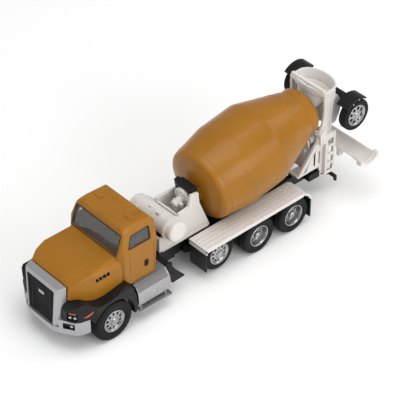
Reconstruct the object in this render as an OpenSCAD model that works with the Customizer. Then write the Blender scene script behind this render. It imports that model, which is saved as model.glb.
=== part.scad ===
// Toy cement mixer truck, 1:50 die-cast style, all sizes in millimetres.
// +X is the truck's front, +Y its left side, +Z up, and the wheels stand on z = 0.
// The modules below work on the truck's own lines, where y = 0 is its middle plane,
// and on_frame() moves every piece to the library frame at the end.

/* [Wheels] */
// Position of the front axle along the truck
front_x = 78; // [60:0.1:90]
// Radius of the front tyres
front_r = 11.4; // [8:0.1:14]
// Outer face of the front wheels from the middle plane
front_y = 24.6; // [18:0.1:30]
// Position of the first drive axle
drive_x1 = -19.2; // [-30:0.1:0]
// Position of the second drive axle
drive_x2 = -43.9; // [-60:0.1:-30]
// Radius of the drive tyres
drive_r = 10.5; // [8:0.1:14]
// Outer face of the drive wheels from the middle plane
drive_y = 24.4; // [18:0.1:30]
// Position of the lift axle
lift_x = 5.8; // [0:0.1:12]
// Height of the raised lift axle
lift_z = 10.8; // [9.5:0.1:12]
// Radius of the lift axle's tyres
lift_r = 9.5; // [8:0.1:10]
// Outer face of the lift axle's wheels from the middle plane
lift_y = 21.3; // [18:0.1:24]
// Position of the folded booster wheels
boost_x = -89.2; // [-95:0.1:-85]
// Height of the folded booster wheels
boost_z = 52.5; // [45:0.1:60]
// Radius of the booster tyres
boost_r = 9.1; // [8:0.1:10]
// Outer face of the booster wheels from the middle plane
boost_y = 23.2; // [20:0.1:26]
// Radius of the metal axle rods
rod_r = 1.25; // [1:0.01:1.5]
// Radial running clearance of every shaft in its bore
run_gap = 0.07; // [0.03:0.01:0.1]

/* [Chassis] */
// Underside of the frame rails
rail_z = 13.5; // [12:0.1:15]
// Top of the frame rails
rail_top = 19.5; // [18:0.1:20]
// Inner face of each rail from the middle plane
rail_in = 6; // [5:0.1:7]
// Outer face of each rail from the middle plane
rail_out = 8.6; // [8:0.1:9]
// Front end of the rails
rail_front = 99; // [90:0.5:100]
// Rear end of the rails
rail_rear = -79; // [-85:0.5:-70]
// Top of the pads that carry the body
pad_top = 20.8; // [20:0.1:22]

/* [Cab] */
// Back wall of the cab
cab_rear = 46; // [44:0.1:48]
// Half width of the cab at the doors
cab_w = 20.2; // [18:0.1:22]
// Height of the roof at its front edge
roof_z = 57.2; // [50:0.1:60]
// Underside of the cab
cab_z = 23.5; // [22:0.1:25]
// Wall thickness of the die-cast shells
wall = 1.2; // [0.8:0.1:2]

/* [Drum] */
// Height of the drum's axis above the ground where x = 0
drum_z = 40.3; // [38:0.1:44]
// Slope of the drum's axis, rising to the rear, in degrees
drum_tilt = 9.92; // [5:0.01:15]
// Largest radius of the drum
drum_r = 23.5; // [20:0.1:25]
// Radius at the front edge of the drum
drum_front_r = 20.4; // [18:0.1:22]
// Radius of the mouth
mouth_r = 11.9; // [10:0.1:14]
// Length from the drum's front edge to its mouth
drum_len = 73.6; // [60:0.1:80]
// Radius of the track band that runs on the rollers
track_r = 13.5; // [12:0.1:15]
// Radius of the support rollers
roller_r = 2.5; // [2:0.1:3]

/* [Chute and hopper] */
// Height of the hopper's rim
hopper_z = 67.5; // [60:0.1:72]
// Middle of the hopper's rim along the truck
hopper_x = -81.2; // [-85:0.1:-78]
// Swing axis of the chute along the truck
chute_x = -89.5; // [-92:0.1:-86]
// Height of the chute's lips
chute_z = 30.5; // [28:0.1:33]
// Half width of the chute
chute_w = 5.7; // [4:0.1:7]
// Reach of the chute's end from the swing axis
chute_end = 34; // [28:0.5:40]

/* [Hidden] */
mid_x = 3.3;
mid_y = 4.35;
lift_pin = [19.5, 15.5];
boost_pin = [-74, 16.5];
w_roller = 69.2;
roller_down = (track_r + roller_r + 0.1) * cos(30);
roller_side = (track_r + roller_r + 0.1) * sin(30);
ochre = [0.64, 0.42, 0.13];
white = [0.85, 0.83, 0.8];
black = [0.06, 0.06, 0.07];
silver = [0.68, 0.69, 0.7];
rubber = [0.05, 0.05, 0.05];

// ---------- helpers ----------
module on_frame() {
  translate([-mid_x, -mid_y, 0]) children();
}

module both() {
  children();
  mirror([0, 1, 0]) children();
}

// a block from its low and high corners
module block(a, b) {
  translate(a) cube(b - a);
}

// a side-view outline [x, z] standing between y0 and y1
module side_plate(points, y0, y1) {
  translate([0, y1, 0]) rotate([90, 0, 0]) linear_extrude(y1 - y0) polygon(points);
}

// a front-view outline [y, z] running from x0 to x1
module long_bar(points, x0, x1) {
  translate([x0, 0, 0]) rotate([90, 0, 90]) linear_extrude(x1 - x0) polygon(points);
}

// a plan outline [x, y] standing between z0 and z1
module plan_block(points, z0, z1) {
  translate([0, 0, z0]) linear_extrude(z1 - z0) polygon(points);
}

// a round bar along Y
module y_bar(x, z, y0, y1, r) {
  translate([x, y1, z]) rotate([90, 0, 0]) cylinder(h = y1 - y0, r = r, $fn = 48);
}

// places a wheel whose own axis is +Z with its outer face at z = 0
module wheel_at(x, y, z) {
  translate([x, y, z]) rotate([-90, 0, 0]) children();
}

// the drum's own axis: local +Z runs up to the rear, local +X points up
module on_drum_axis() {
  translate([0, 0, drum_z]) rotate([0, drum_tilt - 90, 0]) children();
}

// ---------- wheels ----------
module tyre(r, w, bore) {
  rotate_extrude($fn = 72) polygon([
    [bore, -0.35], [bore + 0.5, -0.1], [r - 1.6, 0], [r - 0.55, -0.3], [r - 0.12, -0.75],
    [r, -1.1], [r, -w * 0.3], [r - 0.45, -w * 0.3], [r - 0.45, -w * 0.3 - 0.3],
    [r, -w * 0.3 - 0.3], [r, -w * 0.5], [r - 0.45, -w * 0.5], [r - 0.45, -w * 0.5 - 0.3],
    [r, -w * 0.5 - 0.3], [r, -w * 0.72], [r - 0.45, -w * 0.72],
    [r - 0.45, -w * 0.72 - 0.3], [r, -w * 0.72 - 0.3], [r, -w + 1.1],
    [r - 0.12, -w + 0.75], [r - 0.55, -w + 0.3], [r - 1.6, -w], [bore + 0.5, -w + 0.1],
    [bore, -w + 0.35]
  ]);
}

// convex disc wheel with ten hand holes and a standing hub, for steer and tag axles
module convex_rim(rr, w) {
  difference() {
    rotate_extrude($fn = 64) polygon([
      [0, 0.9], [1.5, 0.9], [1.9, 0.55], [2.1, -0.2], [3.1, -0.35], [rr - 1.35, -0.75],
      [rr - 0.85, -0.45], [rr - 0.6, 0], [rr, 0.05], [rr, -w + 0.3], [rr - 0.9, -w + 0.3],
      [rr - 0.9, -1.9], [2.3, -1.9], [2.3, -4.2], [0, -4.2]
    ]);
    for (a = [18:36:342])
      rotate(a) translate([rr - 2.05, 0, -2.5]) cylinder(h = 3, r = 0.6, $fn = 20);
    for (a = [0:36:324])
      rotate(a) translate([2.6, 0, -0.6]) cylinder(h = 1, r = 0.2, $fn = 10);
  }
}

// deep dished wheel for the dual tyres, hub standing in the dish
module dish_rim(rr, w) {
  difference() {
    rotate_extrude($fn = 64) polygon([
      [0, -0.6], [1.2, -0.6], [1.6, -0.9], [1.8, -2.6], [3.2, -2.75], [3.6, -3.2],
      [rr - 1.5, -3.5], [rr - 0.75, -0.6], [rr - 0.5, 0], [rr, 0.05], [rr, -w],
      [rr - 0.9, -w], [rr - 0.9, -4.8], [0, -4.8]
    ]);
    for (a = [18:36:342])
      rotate(a) translate([rr - 2.15, 0, -5.3]) cylinder(h = 3, r = 0.5, $fn = 20);
  }
}

module axle_rod(x, z, y) {
  y_bar(x, z, -y, y, rod_r);
}

module front_tyres() color(rubber) on_frame()
  both() wheel_at(front_x, front_y, front_r) tyre(front_r, 7.2, 6.3);

module front_rims() color(silver) on_frame() {
  both() wheel_at(front_x, front_y - 0.2, front_r) convex_rim(6.3, 7);
  axle_rod(front_x, front_r, front_y - 1);
}

module lift_tyres() color(rubber) on_frame()
  both() wheel_at(lift_x, lift_y, lift_z) tyre(lift_r, 5.6, 6.2);

module lift_rims() color(silver) on_frame() {
  both() wheel_at(lift_x, lift_y - 0.2, lift_z) convex_rim(6.2, 5.4);
  axle_rod(lift_x, lift_z, lift_y - 1);
}

module drive_tyres(x) {
  both() {
    wheel_at(x, drive_y, drive_r) tyre(drive_r, 5.2, 6.2);
    wheel_at(x, drive_y - 6.1, drive_r) tyre(drive_r, 5.2, 6.2);
  }
}

module drive_rims(x) {
  both() wheel_at(x, drive_y - 0.2, drive_r) dish_rim(6.2, 10.8);
  axle_rod(x, drive_r, drive_y - 3);
}

module drive_tyres_1() color(rubber) on_frame() drive_tyres(drive_x1);
module drive_tyres_2() color(rubber) on_frame() drive_tyres(drive_x2);
module drive_rims_1() color(silver) on_frame() drive_rims(drive_x1);
module drive_rims_2() color(silver) on_frame() drive_rims(drive_x2);

module booster_tyre() {
  wheel_at(boost_x, boost_y, boost_z) tyre(boost_r, 5.4, 6.1);
}

module booster_rim() {
  difference() {
    wheel_at(boost_x, boost_y - 0.2, boost_z) convex_rim(6.1, 5.2);
    y_bar(boost_x, boost_z, boost_y - 8, boost_y - 1.2, rod_r + run_gap);
  }
}

module booster_tyre_left() color(rubber) on_frame() booster_tyre();
module booster_tyre_right() color(rubber) on_frame() mirror([0, 1, 0]) booster_tyre();
module booster_rim_left() color(silver) on_frame() booster_rim();
module booster_rim_right() color(silver) on_frame() mirror([0, 1, 0]) booster_rim();

// ---------- chassis ----------
module frame_rails() color(black) on_frame() {
  both() {
    difference() {
      block([rail_rear, rail_in, rail_z], [rail_front, rail_out, rail_top]);
      block([-54, rail_in - 1, rail_z + 1], [40, rail_out - 0.9, rail_top - 1]);
    }
    block([1, rail_in, rail_top], [36, rail_out, pad_top]);
    block([rail_rear, rail_in, rail_top], [-57, rail_out, pad_top]);
    block([48, rail_in, rail_top], [52, rail_out, cab_z]);
    block([61, rail_in, rail_top], [65, rail_out, cab_z]);
    y_bar(lift_pin[0], lift_pin[1], rail_out - 0.5, 11.6, 1);
    y_bar(boost_pin[0], boost_pin[1], rail_out - 0.5, 11, 1.5);
  }
  // outrigger blocks beside the booster pivot, shorter where its arm hangs
  block([-73.8, rail_out - 0.1, 14.3], [-66.2, 12.9, 18.3]);
  block([-70.3, -12.9, 14.3], [-66.2, -rail_out + 0.1, 18.3]);
  for (x = [-78, -57, -33, -6, 22, 38, 56, 96])
    block([x, -rail_in - 0.5, rail_z + 2.4], [x + 2, rail_in + 0.5, rail_top - 0.4]);
}

module rear_suspension() color(black) on_frame() {
  difference() {
    union() {
      for (x = [drive_x1, drive_x2]) {
        y_bar(x, drive_r, -12.6, 12.6, 2);
        translate([x, 0, drive_r]) sphere(r = 3.7, $fn = 40);
      }
      both() {
        side_plate([
          [drive_x1 + 1.6, 9], [drive_x1 + 2.6, 10.5], [drive_x1 + 1.2, 12.4],
          [-27, 12.9], [-29.5, 13.45], [-33.6, 13.45], [-36, 12.9],
          [drive_x2 - 1.2, 12.4], [drive_x2 - 2.6, 10.5], [drive_x2 - 1.6, 9], [-31.5, 8]
        ], 9, 11.6);
        block([-33.4, rail_in, 10.5], [-29.7, 9.5, rail_z]);
      }
    }
    for (x = [drive_x1, drive_x2]) y_bar(x, drive_r, -13, 13, rod_r + run_gap);
  }
}

module front_axle_beam() color(black) on_frame() {
  difference() {
    union() {
      y_bar(front_x, front_r, -16.4, 16.4, 2);
      both() {
        side_plate([
          [front_x - 12, 13.4], [front_x - 11, 14.6], [front_x - 2, 12.6],
          [front_x + 2, 12.6], [front_x + 11, 14.6], [front_x + 12, 13.4],
          [front_x + 3, 10.8], [front_x - 3, 10.8]
        ], 9, 11.6);
        block([front_x - 12, rail_out, 13.4], [front_x - 10, 11.6, 17]);
        block([front_x + 10, rail_out, 13.4], [front_x + 12, 11.6, 17]);
      }
    }
    y_bar(front_x, front_r, -17, 17, rod_r + run_gap);
  }
}

module drivetrain() color([0.12, 0.12, 0.13]) on_frame() {
  block([72, -5.5, 14.2], [92, 5.5, 32]);
  block([92, -4.6, 16], [96, 4.6, 30]);
  translate([58, 0, 17]) rotate([0, 90, 0]) cylinder(h = 14.5, r = 4, $fn = 48);
  // prop shaft: level past the lift axle, then down to the first drive axle
  translate([-5, 0, 14.3]) rotate([0, 90, 0]) cylinder(h = 63.5, r = 0.8, $fn = 24);
  difference() {
    translate([-4.6, 0, 14.3]) rotate([0, -104.6, 0]) cylinder(h = 14, r = 0.8, $fn = 24);
    translate([drive_x1, 0, drive_r]) sphere(r = 3.7, $fn = 40);
  }
}

// flat plate that closes the underside between the tanks
module base_plate() color(black) on_frame()
  difference() {
    block([25, -rail_out, rail_z - 1.3], [57, rail_out, rail_z]);
    for (x = [28.5, 53.5])
      translate([x, 0, rail_z - 1.4]) cylinder(h = 0.9, r = 1.3, $fn = 40);
  }

module base_screws() color(silver) on_frame()
  for (x = [28.5, 53.5])
    translate([x, 0, rail_z - 1.25]) difference() {
      cylinder(h = 0.75, r = 1.3, $fn = 40);
      for (a = [0, 90]) rotate(a) translate([-0.8, -0.15, -0.1]) cube([1.6, 0.3, 0.4]);
    }

// ---------- cab ----------
// side view of the cab, drawn t inside its outer face
function cab_side(t) = [
  [cab_rear + 1.3 + t, cab_z + t], [cab_rear + t, 45], [cab_rear + t, 55 - t],
  [cab_rear + 1.2 + t, 56.4 - t],
  [60, roof_z - t], [64.6 - t * 0.5, roof_z - 0.4 - t], [65.6 - t, 55.6 - t * 0.6],
  [69.8 - t, 43 - t * 0.2], [70 - t, 42.8], [70 - t, 31.5], [63.8 - t * 0.6, cab_z + t]
];
function cab_front(t) = [
  [-cab_w + t, cab_z - 1], [-cab_w + t, 44], [-18.2 + t, 55 - t], [-17 + t, 56.6 - t],
  [-15.5, 58], [15.5, 58], [17 - t, 56.6 - t], [18.2 - t, 55 - t], [cab_w - t, 44],
  [cab_w - t, cab_z - 1]
];
function cab_plan(t) = [
  [cab_rear - 1, -cab_w + t], [67, -cab_w + t], [71 - t, -17.6 + t], [71 - t, 17.6 - t],
  [67, cab_w - t], [cab_rear - 1, cab_w - t]
];

module cab_body(t) {
  intersection() {
    side_plate(cab_side(t), -24, 24);
    long_bar(cab_front(t), 40, 76);
    plan_block(cab_plan(t), 20, 60);
  }
}

module window_cuts(g) {
  // windscreen
  long_bar([[-17 + g, 43.3 + g], [-16.8 + g, 54.2 - g], [16.8 - g, 54.2 - g],
    [17 - g, 43.3 + g]], 63, 72);
  // door windows
  side_plate([[50.2 + g, 45.9 + g], [50.2 + g, 53 - g], [61.6 - g, 52.6 - g],
    [64.2 - g, 45.9 + g]], -24, 24);
  // rear window
  long_bar([[-9 + g, 46 + g], [-9 + g, 53 - g], [9 - g, 53 - g], [9 - g, 46 + g]],
    cab_rear - 1, cab_rear + 3);
}

module cab_shell() color(ochre) on_frame() {
  difference() {
    cab_body(0);
    cab_body(wall);
    window_cuts(0);
    // door shut lines
    both() {
      block([48.4, cab_w - 0.25, 25], [48.7, cab_w + 1, 44]);
      block([63.6, cab_w - 0.25, 31], [63.9, cab_w + 1, 44]);
      block([48.4, cab_w - 0.25, 25], [62, cab_w + 1, 25.3]);
    }
  }
  // low ribs along the middle of the roof
  for (y = [-4.2, 0, 4.2])
    side_plate([[49, 56.3], [49.6, 56.85], [59, 57.42], [61, 57.1], [60.4, 56.6]],
      y - 0.5, y + 0.5);
  // square pads near the corners of the roof, each with three short ribs behind it
  for (y = [-11.3, 11.3]) {
    side_plate([[54.2, 56.4], [54.5, 57.5], [57, 57.75], [57.6, 57.3], [57.6, 56.6]],
      y - 2.1, y + 2.1);
    for (k = [-1.6, 0, 1.6])
      side_plate([[47.8, 56], [48.2, 56.8], [54.6, 57.2], [54.8, 56.4]],
        y + k - 0.35, y + k + 0.35);
  }
  // moulded roof marker lamps along the front edge
  for (y = [-14.4, 0, 14.4])
    side_plate([[62.6, 56.4], [62.8, 57.4], [63.2, 57.6], [64.7, 57.3], [65.4, 56.6],
      [65.2, 55.8]], y - 0.9, y + 0.9);
}

module glazing() color([0.12, 0.13, 0.15, 0.6]) on_frame() {
  intersection() {
    difference() {
      cab_body(0.45);
      cab_body(1.05);
    }
    window_cuts(0);
  }
}

module cab_interior() color([0.1, 0.1, 0.11]) on_frame() {
  block([48.6, -17.5, cab_z + wall], [62.7, 17.5, cab_z + 2.4]);
  both() {
    block([50, 5, 25.5], [58, 13.5, 33]);
    side_plate([[48.5, 32.5], [50.8, 32.5], [50.2, 45], [48, 45]], 5, 13.5);
    side_plate([[48.1, 44.8], [50.1, 44.8], [49.8, 48.3], [48.2, 48.3]], 7, 11.5);
  }
  side_plate([[62.5, 25.5], [62.5, 38.5], [63.6, 40.6], [67.8, 41.6], [67.8, 32.5],
    [64, 26]], -17, 17);
}

module steering_wheel() color([0.08, 0.08, 0.08]) on_frame()
  translate([59.6, 9.2, 40]) rotate([0, -35, 0]) {
    rotate_extrude($fn = 48) translate([3.3, 0]) circle(r = 0.4, $fn = 16);
    cylinder(h = 0.7, r = 0.9, center = true, $fn = 24);
    for (a = [90, 210, 330]) rotate(a) translate([0.5, -0.25, -0.2]) cube([2.7, 0.5, 0.4]);
    // column down to the dash
    difference() {
      translate([0, 0, -6]) cylinder(h = 6, r = 0.45, $fn = 24);
      rotate([0, 35, 0]) block([2.9, -2, -8], [8, 2, 2]);
    }
  }

module door_handles() color(black) on_frame()
  both() {
    block([51.9, cab_w, 31.6], [54.8, cab_w + 0.45, 33.6]);
    block([52.2, cab_w + 0.4, 32.2], [54.5, cab_w + 0.8, 32.9]);
  }

function hood_side(t) = [
  [70, 24], [70, 42.6 - t], [84, 40.9 - t], [95.8, 37.9 - t], [97.4 - t, 36.6 - t],
  [98.2 - t, 24]
];
function hood_plan(t) = [
  [70, -19.4 + t], [84, -17.6 + t], [97.4 - t, -14.2 + t], [99 - t, -12.2 + t],
  [99 - t, 12.2 - t], [97.4 - t, 14.2 - t], [84, 17.6 - t], [70, 19.4 - t]
];
function hood_front(t) = [
  [-21, 20], [-19.5 + t, 36], [-17.4 + t, 40.2 - t], [-14, 43 - t], [14, 43 - t],
  [17.4 - t, 40.2 - t], [19.5 - t, 36], [21, 20]
];

module hood_body(t) {
  intersection() {
    side_plate(hood_side(t), -24, 24);
    plan_block(hood_plan(t), 20, 46);
    long_bar(hood_front(t), 69, 102);
  }
}

module hood() color(ochre) on_frame() {
  difference() {
    hood_body(0);
    hood_body(wall);
    translate([0, 0, -0.1]) block([69, -17, 23], [96.5, 17, 25]);
    // radiator opening behind the grille
    block([94, -9, 20], [100, 9, 33]);
    // side vent slots
    both() translate([79.8, 18.15, 37.5]) rotate([0, 5, -7.3])
      block([-4.1, -2, -1.15], [4.1, 2, 1.15]);
  }
}

module hood_vents() color(black) on_frame()
  both() translate([79.8, 18.15, 37.5]) rotate([0, 5, -7.3]) {
    block([-4.1, -1.1, -1.15], [4.1, -0.45, 1.15]);
    for (x = [-3:1.5:3]) block([x - 0.3, -0.5, -1.15], [x + 0.3, -0.15, 1.15]);
  }

// ---------- nose ----------
function nose_side() = [
  [104.2, 14.9], [103.1, 35.6], [102.2, 38], [97.9, 38.2], [98.3, 36.9], [98.7, 24],
  [99.4, 14.9]
];
function nose_plan(t) = [
  [98.3, -13.9 + t], [102.4 - t, -12.2 + t], [104.4 - t, -9.8 + t], [104.4 - t, 9.8 - t],
  [102.4 - t, 12.2 - t], [98.3, 13.9 - t], [96, 12], [96, -12]
];

module grille_surround() color(silver) on_frame()
  difference() {
    intersection() {
      side_plate(nose_side(), -15, 15);
      plan_block(nose_plan(0), 12, 40);
    }
    long_bar([[-9.1, 14], [-10.5, 36], [10.5, 36], [9.1, 14]], 96, 106);
    hood_body(0);
  }

module grille_mesh() color(black) on_frame() {
  intersection() {
    union() {
      side_plate([[101.2, 14.9], [101.8, 14.9], [101, 36.5], [100.4, 36.5]], -12, 12);
      for (z = [16.2:1.4:35.5])
        side_plate([[101.5, z], [102.6, z + 0.1], [102.6, z + 0.5], [101.4, z + 0.5]],
          -12, 12);
      for (y = [-7.5, -2.5, 2.5, 7.5])
        side_plate([[101.6, 14.9], [102.4, 14.9], [101.7, 36.5], [100.9, 36.5]],
          y - 0.2, y + 0.2);
    }
    long_bar([[-9.1, 14], [-10.5, 36], [10.5, 36], [9.1, 14]], 96, 106);
  }
}

bumper_z = 20.2;
bumper_low = [
  [104.6, 9.6], [103.1, 13.2], [98.7, 20.2], [96.6, 21.6], [91.6, 22.9], [91.6, 21.3],
  [96, 20.1], [97.4, 19.1], [101.6, 12.5], [102.6, 9.6]
];
bumper_high = [
  [102.4, 12.2], [103.3, 12.9], [98.7, 20.2], [96.6, 21.6], [91.6, 22.9], [91.6, 21.3],
  [96, 20.1], [97.4, 19.1], [101.194, 12.7]
];

module fog_pocket() {
  both() translate([100.5, 17.3, 16.9]) rotate(32.2)
    block([-1.1, -3.1, -1.8], [2, 3.1, 1.8]);
}

module bumper() color(silver) on_frame() {
  difference() {
    union() {
      both() plan_block(bumper_low, 11.6, 14.9);
      both() plan_block(bumper_high, 14.8, bumper_z);
      plan_block([[104.6, -9.7], [104.9, -5], [104.9, 5], [104.6, 9.7], [102.5, 9.7],
        [102.5, -9.7]], 11.6, 14.9);
      both() block([rail_front, rail_in, 12.5], [102.8, rail_out, 14.7]);
      block([rail_front, -9, 12.5], [rail_front + 1.5, 9, 14.7]);
    }
    fog_pocket();
    // lower edge swept up towards the middle
    block([100, -4, 11], [106, 4, 12.1]);
  }
}

module fog_lamps() color(black) on_frame()
  both() translate([100.5, 17.3, 16.9]) rotate(32.2) {
    difference() {
      block([-1, -3.1, -1.8], [0.1, 3.1, 1.8]);
      translate([-0.4, 1.3, 0]) rotate([0, 90, 0]) cylinder(h = 1, r = 1.1, $fn = 32);
    }
    translate([-0.4, 1.3, 0]) rotate([0, 90, 0]) cylinder(h = 0.4, r = 0.85, $fn = 32);
  }

// ---------- fenders ----------
module headlight_place() {
  translate([100.2, 17.5, 23.6]) rotate(32.2) children();
}

module fender() {
  difference() {
    intersection() {
      side_plate([
        [64.6, 8.4], [62.95, 11.8], [63.9, 20.5], [66.6, 27.2], [69.2, 28.6],
        [73.5, 27.4], [79.5, 25.9], [86, 25.9], [89.6, 27.4], [93.4, 30], [98.6, 30],
        [101, 27], [101.8, bumper_z], [90.9, bumper_z], [88, 12], [67, 12]
      ], 12, 25);
      plan_block([
        [62, 20.2], [62, 24.6], [88.4, 24.6], [91.8, 23.3], [96.8, 21.9],
        [99.1, 20.4], [103.2, 13.6], [102.3, 12.3], [98.4, 13], [84, 16.6],
        [70, 18.2]
      ], 5, 33);
      long_bar([[11, 33], [17.5, 33], [20.2, 31.2], [24.7, 26.9], [24.7, 5], [11, 5]],
        60, 105);
    }
    y_bar(front_x, front_r, 8, 27, 12.9);
    hood_body(0);
    cab_body(0);
    intersection() {
      side_plate(nose_side(), -15, 15);
      plan_block(nose_plan(0), 12, 40);
    }
    headlight_place() block([-0.9, -2.6, -2.6], [3, 2.6, 2.4]);
    translate([94.2, 22.6, 22.2]) rotate(-15.6 + 90) rotate([0, 0, 0])
      block([-0.45, -2.4, -0.7], [2, 2.4, 0.7]);
  }
}

module fender_left() color(black) on_frame() fender();
module fender_right() color(black) on_frame() mirror([0, 1, 0]) fender();

module headlights() color([0.8, 0.82, 0.85]) on_frame()
  both() headlight_place() {
    difference() {
      block([-0.9, -2.6, -2.6], [-0.2, 2.6, 2.4]);
      for (y = [-1.2, 1.25])
        translate([-0.5, y, -1]) rotate([0, 90, 0]) cylinder(h = 1, r = 1.05, $fn = 32);
    }
    for (y = [-1.2, 1.25])
      translate([-0.5, y, -1]) rotate([0, 90, 0]) cylinder(h = 0.55, r = 0.9, $fn = 32);
  }

module marker_lights() color([0.75, 0.16, 0.08]) on_frame() {
  // amber bar over the lamps and the red side marker on each fender
  both() {
    headlight_place() block([-0.2, -2.3, 0.9], [0.25, 2.3, 1.9]);
    translate([94.2, 22.6, 22.2]) rotate(74.4) block([-0.4, -2.3, -0.6], [0.15, 2.3, 0.6]);
  }
}

// ---------- side tanks and panels ----------
module step_tank() {
  difference() {
    union() {
      long_bar([[12.4, 9.2], [12.4, 17.9], [23.6, 17.9], [24.6, 17], [24.6, 10.6],
        [23.4, 9.2]], 41.4, 62.3);
      // upper step with its sloping outer face
      long_bar([[12.4, 17.8], [12.4, 23.2], [20.9, 23.2], [21.5, 22.8], [22, 17.8]],
        44.6, 62.6);
      // lower step plate
      block([42, 18.5, 7.4], [61.8, 24.9, 8.3]);
      block([43, 19.5, 8.2], [44.4, 23, 9.4]);
      block([59.2, 19.5, 8.2], [60.6, 23, 9.4]);
    }
    // open step above the tank
    block([46.4, 21.1, 18.9], [60.8, 25, 21.6]);
    y_bar(51.8, 13.5, 24.2, 26, 2.1);
  }
  // tread bars
  for (x = [43:1.6:60.8]) block([x, 22.3, 17.8], [x + 0.7, 24, 18.25]);
  for (x = [46:1.6:61]) block([x, 17.6, 23.1], [x + 0.7, 20.6, 23.42]);
  // brackets to the rail
  block([45, rail_out, 14], [47, 12.6, 17]);
  block([57, rail_out, 14], [59, 12.6, 17]);
}

module step_tank_left() color(silver) on_frame() step_tank();
module step_tank_right() color(silver) on_frame() mirror([0, 1, 0]) step_tank();

// black panel hanging behind each tank, with a stay to the rail
module side_panels() color(black) on_frame()
  both() {
    side_plate([[28.6, 9], [37.4, 9], [40.6, 22.3], [36.8, 22.7], [33.8, 15.5],
      [30.6, 13.4]], 18.6, 20.2);
    side_plate([[35.2, 14.6], [38.3, 14.6], [39.4, 18.2], [36.4, 18.2]], rail_out, 18.8);
  }

// ---------- water tank and front pedestal ----------
tank_x = 29;
tank_z = 34.9;
tank_r = 5.8;

module water_tank() color(white) on_frame()
  translate([tank_x, 0, tank_z]) rotate([90, 0, 0]) rotate_extrude($fn = 72) polygon([
    [0, -16.6], [4.2, -16.5], [5.1, -16.2], [5.6, -15.7], [tank_r, -15],
    [tank_r, 15], [5.6, 15.7], [5.1, 16.2], [4.2, 16.5], [0, 16.6]
  ]);

module tank_fittings() color(white) on_frame() {
  // two straps round the tank, open underneath where the saddle is
  for (y = [-11, 11])
    difference() {
      y_bar(tank_x, tank_z, y - 0.8, y + 0.8, tank_r + 0.65);
      y_bar(tank_x, tank_z, y - 2, y + 2, tank_r);
      block([tank_x - 9, y - 2, tank_z - 9], [tank_x + 9, y + 2, tank_z - 4]);
    }
  // filler cap and valve on top
  difference() {
    union() {
      translate([tank_x + 1.5, 3.5, tank_z + 4]) cylinder(h = 3, r = 1.6, $fn = 32);
      translate([tank_x + 1, -3.5, tank_z + 4]) cylinder(h = 2.5, r = 0.9, $fn = 32);
    }
    y_bar(tank_x, tank_z, -16, 16, tank_r);
  }
}

module front_pedestal() color(white) on_frame() {
  difference() {
    union() {
      both() side_plate([
        [1.5, pad_top], [8.6, 38.8], [9.2, 45.4], [14.4, 46.4], [15.8, 39.6], [22.6, 38.6],
        [23.2, 29.5], [35.4, 29.5], [35.4, pad_top]
      ], 7.6, 8.9);
      // front wall under the tank
      block([34.2, -8, pad_top], [35.4, 8, 29.5]);
      // wall between motor bay and tank
      block([21.2, -8, pad_top], [22.4, 8, 36.8]);
      // motor bay floor
      block([6.6, -8, 28.9], [22, 8, 30.1]);
      // sloping back wall
      side_plate([[1.5, pad_top], [2.9, pad_top], [6.7, 30.1], [5.2, 30.1]], -8, 8);
      // stiffening flanges at the feet
      both() block([2.6, 8.8, pad_top], [34, 10, pad_top + 1]);
    }
    y_bar(tank_x, tank_z, -12, 12, tank_r);
    // bolt heads would sit in these counterbores
    both() for (x = [6, 18, 31])
      translate([x, 8.6, pad_top + 3]) rotate([-90, 0, 0]) cylinder(h = 2, r = 0.7, $fn = 24);
  }
}

module drum_gearbox() color(black) on_frame() on_drum_axis()
  difference() {
    union() {
      translate([-7.9, -6.9, -11.4]) cube([16.1, 13.8, 5.4]);
      translate([-7.9, -7.6, -10.6]) cube([7, 15.2, 3.6]);
      translate([0, 0, -6.1]) cylinder(h = 0.4, r = 5.2, $fn = 48);
    }
    translate([0, 0, -10]) cylinder(h = 4.7, r = 2.5 + run_gap, $fn = 48);
    for (a = [-1, 1], b = [-1, 1])
      translate([b * 6.6 + 0.1, a * 5.6, -11.6]) cylinder(h = 0.8, r = 0.6, $fn = 20);
  }

module drum_motor() color([0.55, 0.55, 0.54]) on_frame() on_drum_axis() {
  translate([0, 0, -19.6]) cylinder(h = 8.2, r = 3.3, $fn = 48);
  translate([0, 0, -12.6]) cylinder(h = 1.2, r = 4.4, $fn = 48);
  translate([3, -0.9, -16.6]) cube([2, 1.8, 2.4]);
  translate([-1.6, -5, -16]) cube([2.4, 3, 2.4]);
}

// ---------- drum ----------
module drum_shell() color(ochre) on_frame() on_drum_axis()
  rotate_extrude($fn = 96) polygon([
    [0, -9.4], [2.5, -9.4], [2.5, -5.4], [5.6, -5.4], [6.4, -4.7], [13, -3.5],
    [18.3, -2], [19.8, -1.1], [drum_front_r, 0.2], [drum_r - 0.25, 16.6],
    [drum_r, 18.2], [drum_r, 39], [drum_r - 0.3, 40.4], [14.3, 66], [track_r, 66.4],
    [track_r, 71.4], [12.7, 71.6], [12.2, 73], [mouth_r - 0.4, drum_len],
    [10.9, drum_len - 0.2], [10.9, 72.4], [22.2, 39.3], [22.3, 18.3], [19.2, 1.4],
    [17.6, -0.6], [6, -3.4], [0, -3.4]
  ]);

// three straight mixing fins standing on the inside of the rear cone
module drum_fins() color(ochre) on_frame() on_drum_axis()
  intersection() {
    for (a = [0, 120, 240])
      rotate(a) rotate([90, 0, 0]) linear_extrude(0.8, center = true) polygon([
        [24, 41], [20.5, 41], [17.5, 44], [8.2, 70.6], [8.6, 72.2], [24, 72.2]
      ]);
    rotate_extrude($fn = 96) polygon([[0, 39.3], [22.2, 39.3], [10.9, 72.4], [0, 72.4]]);
  }

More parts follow.
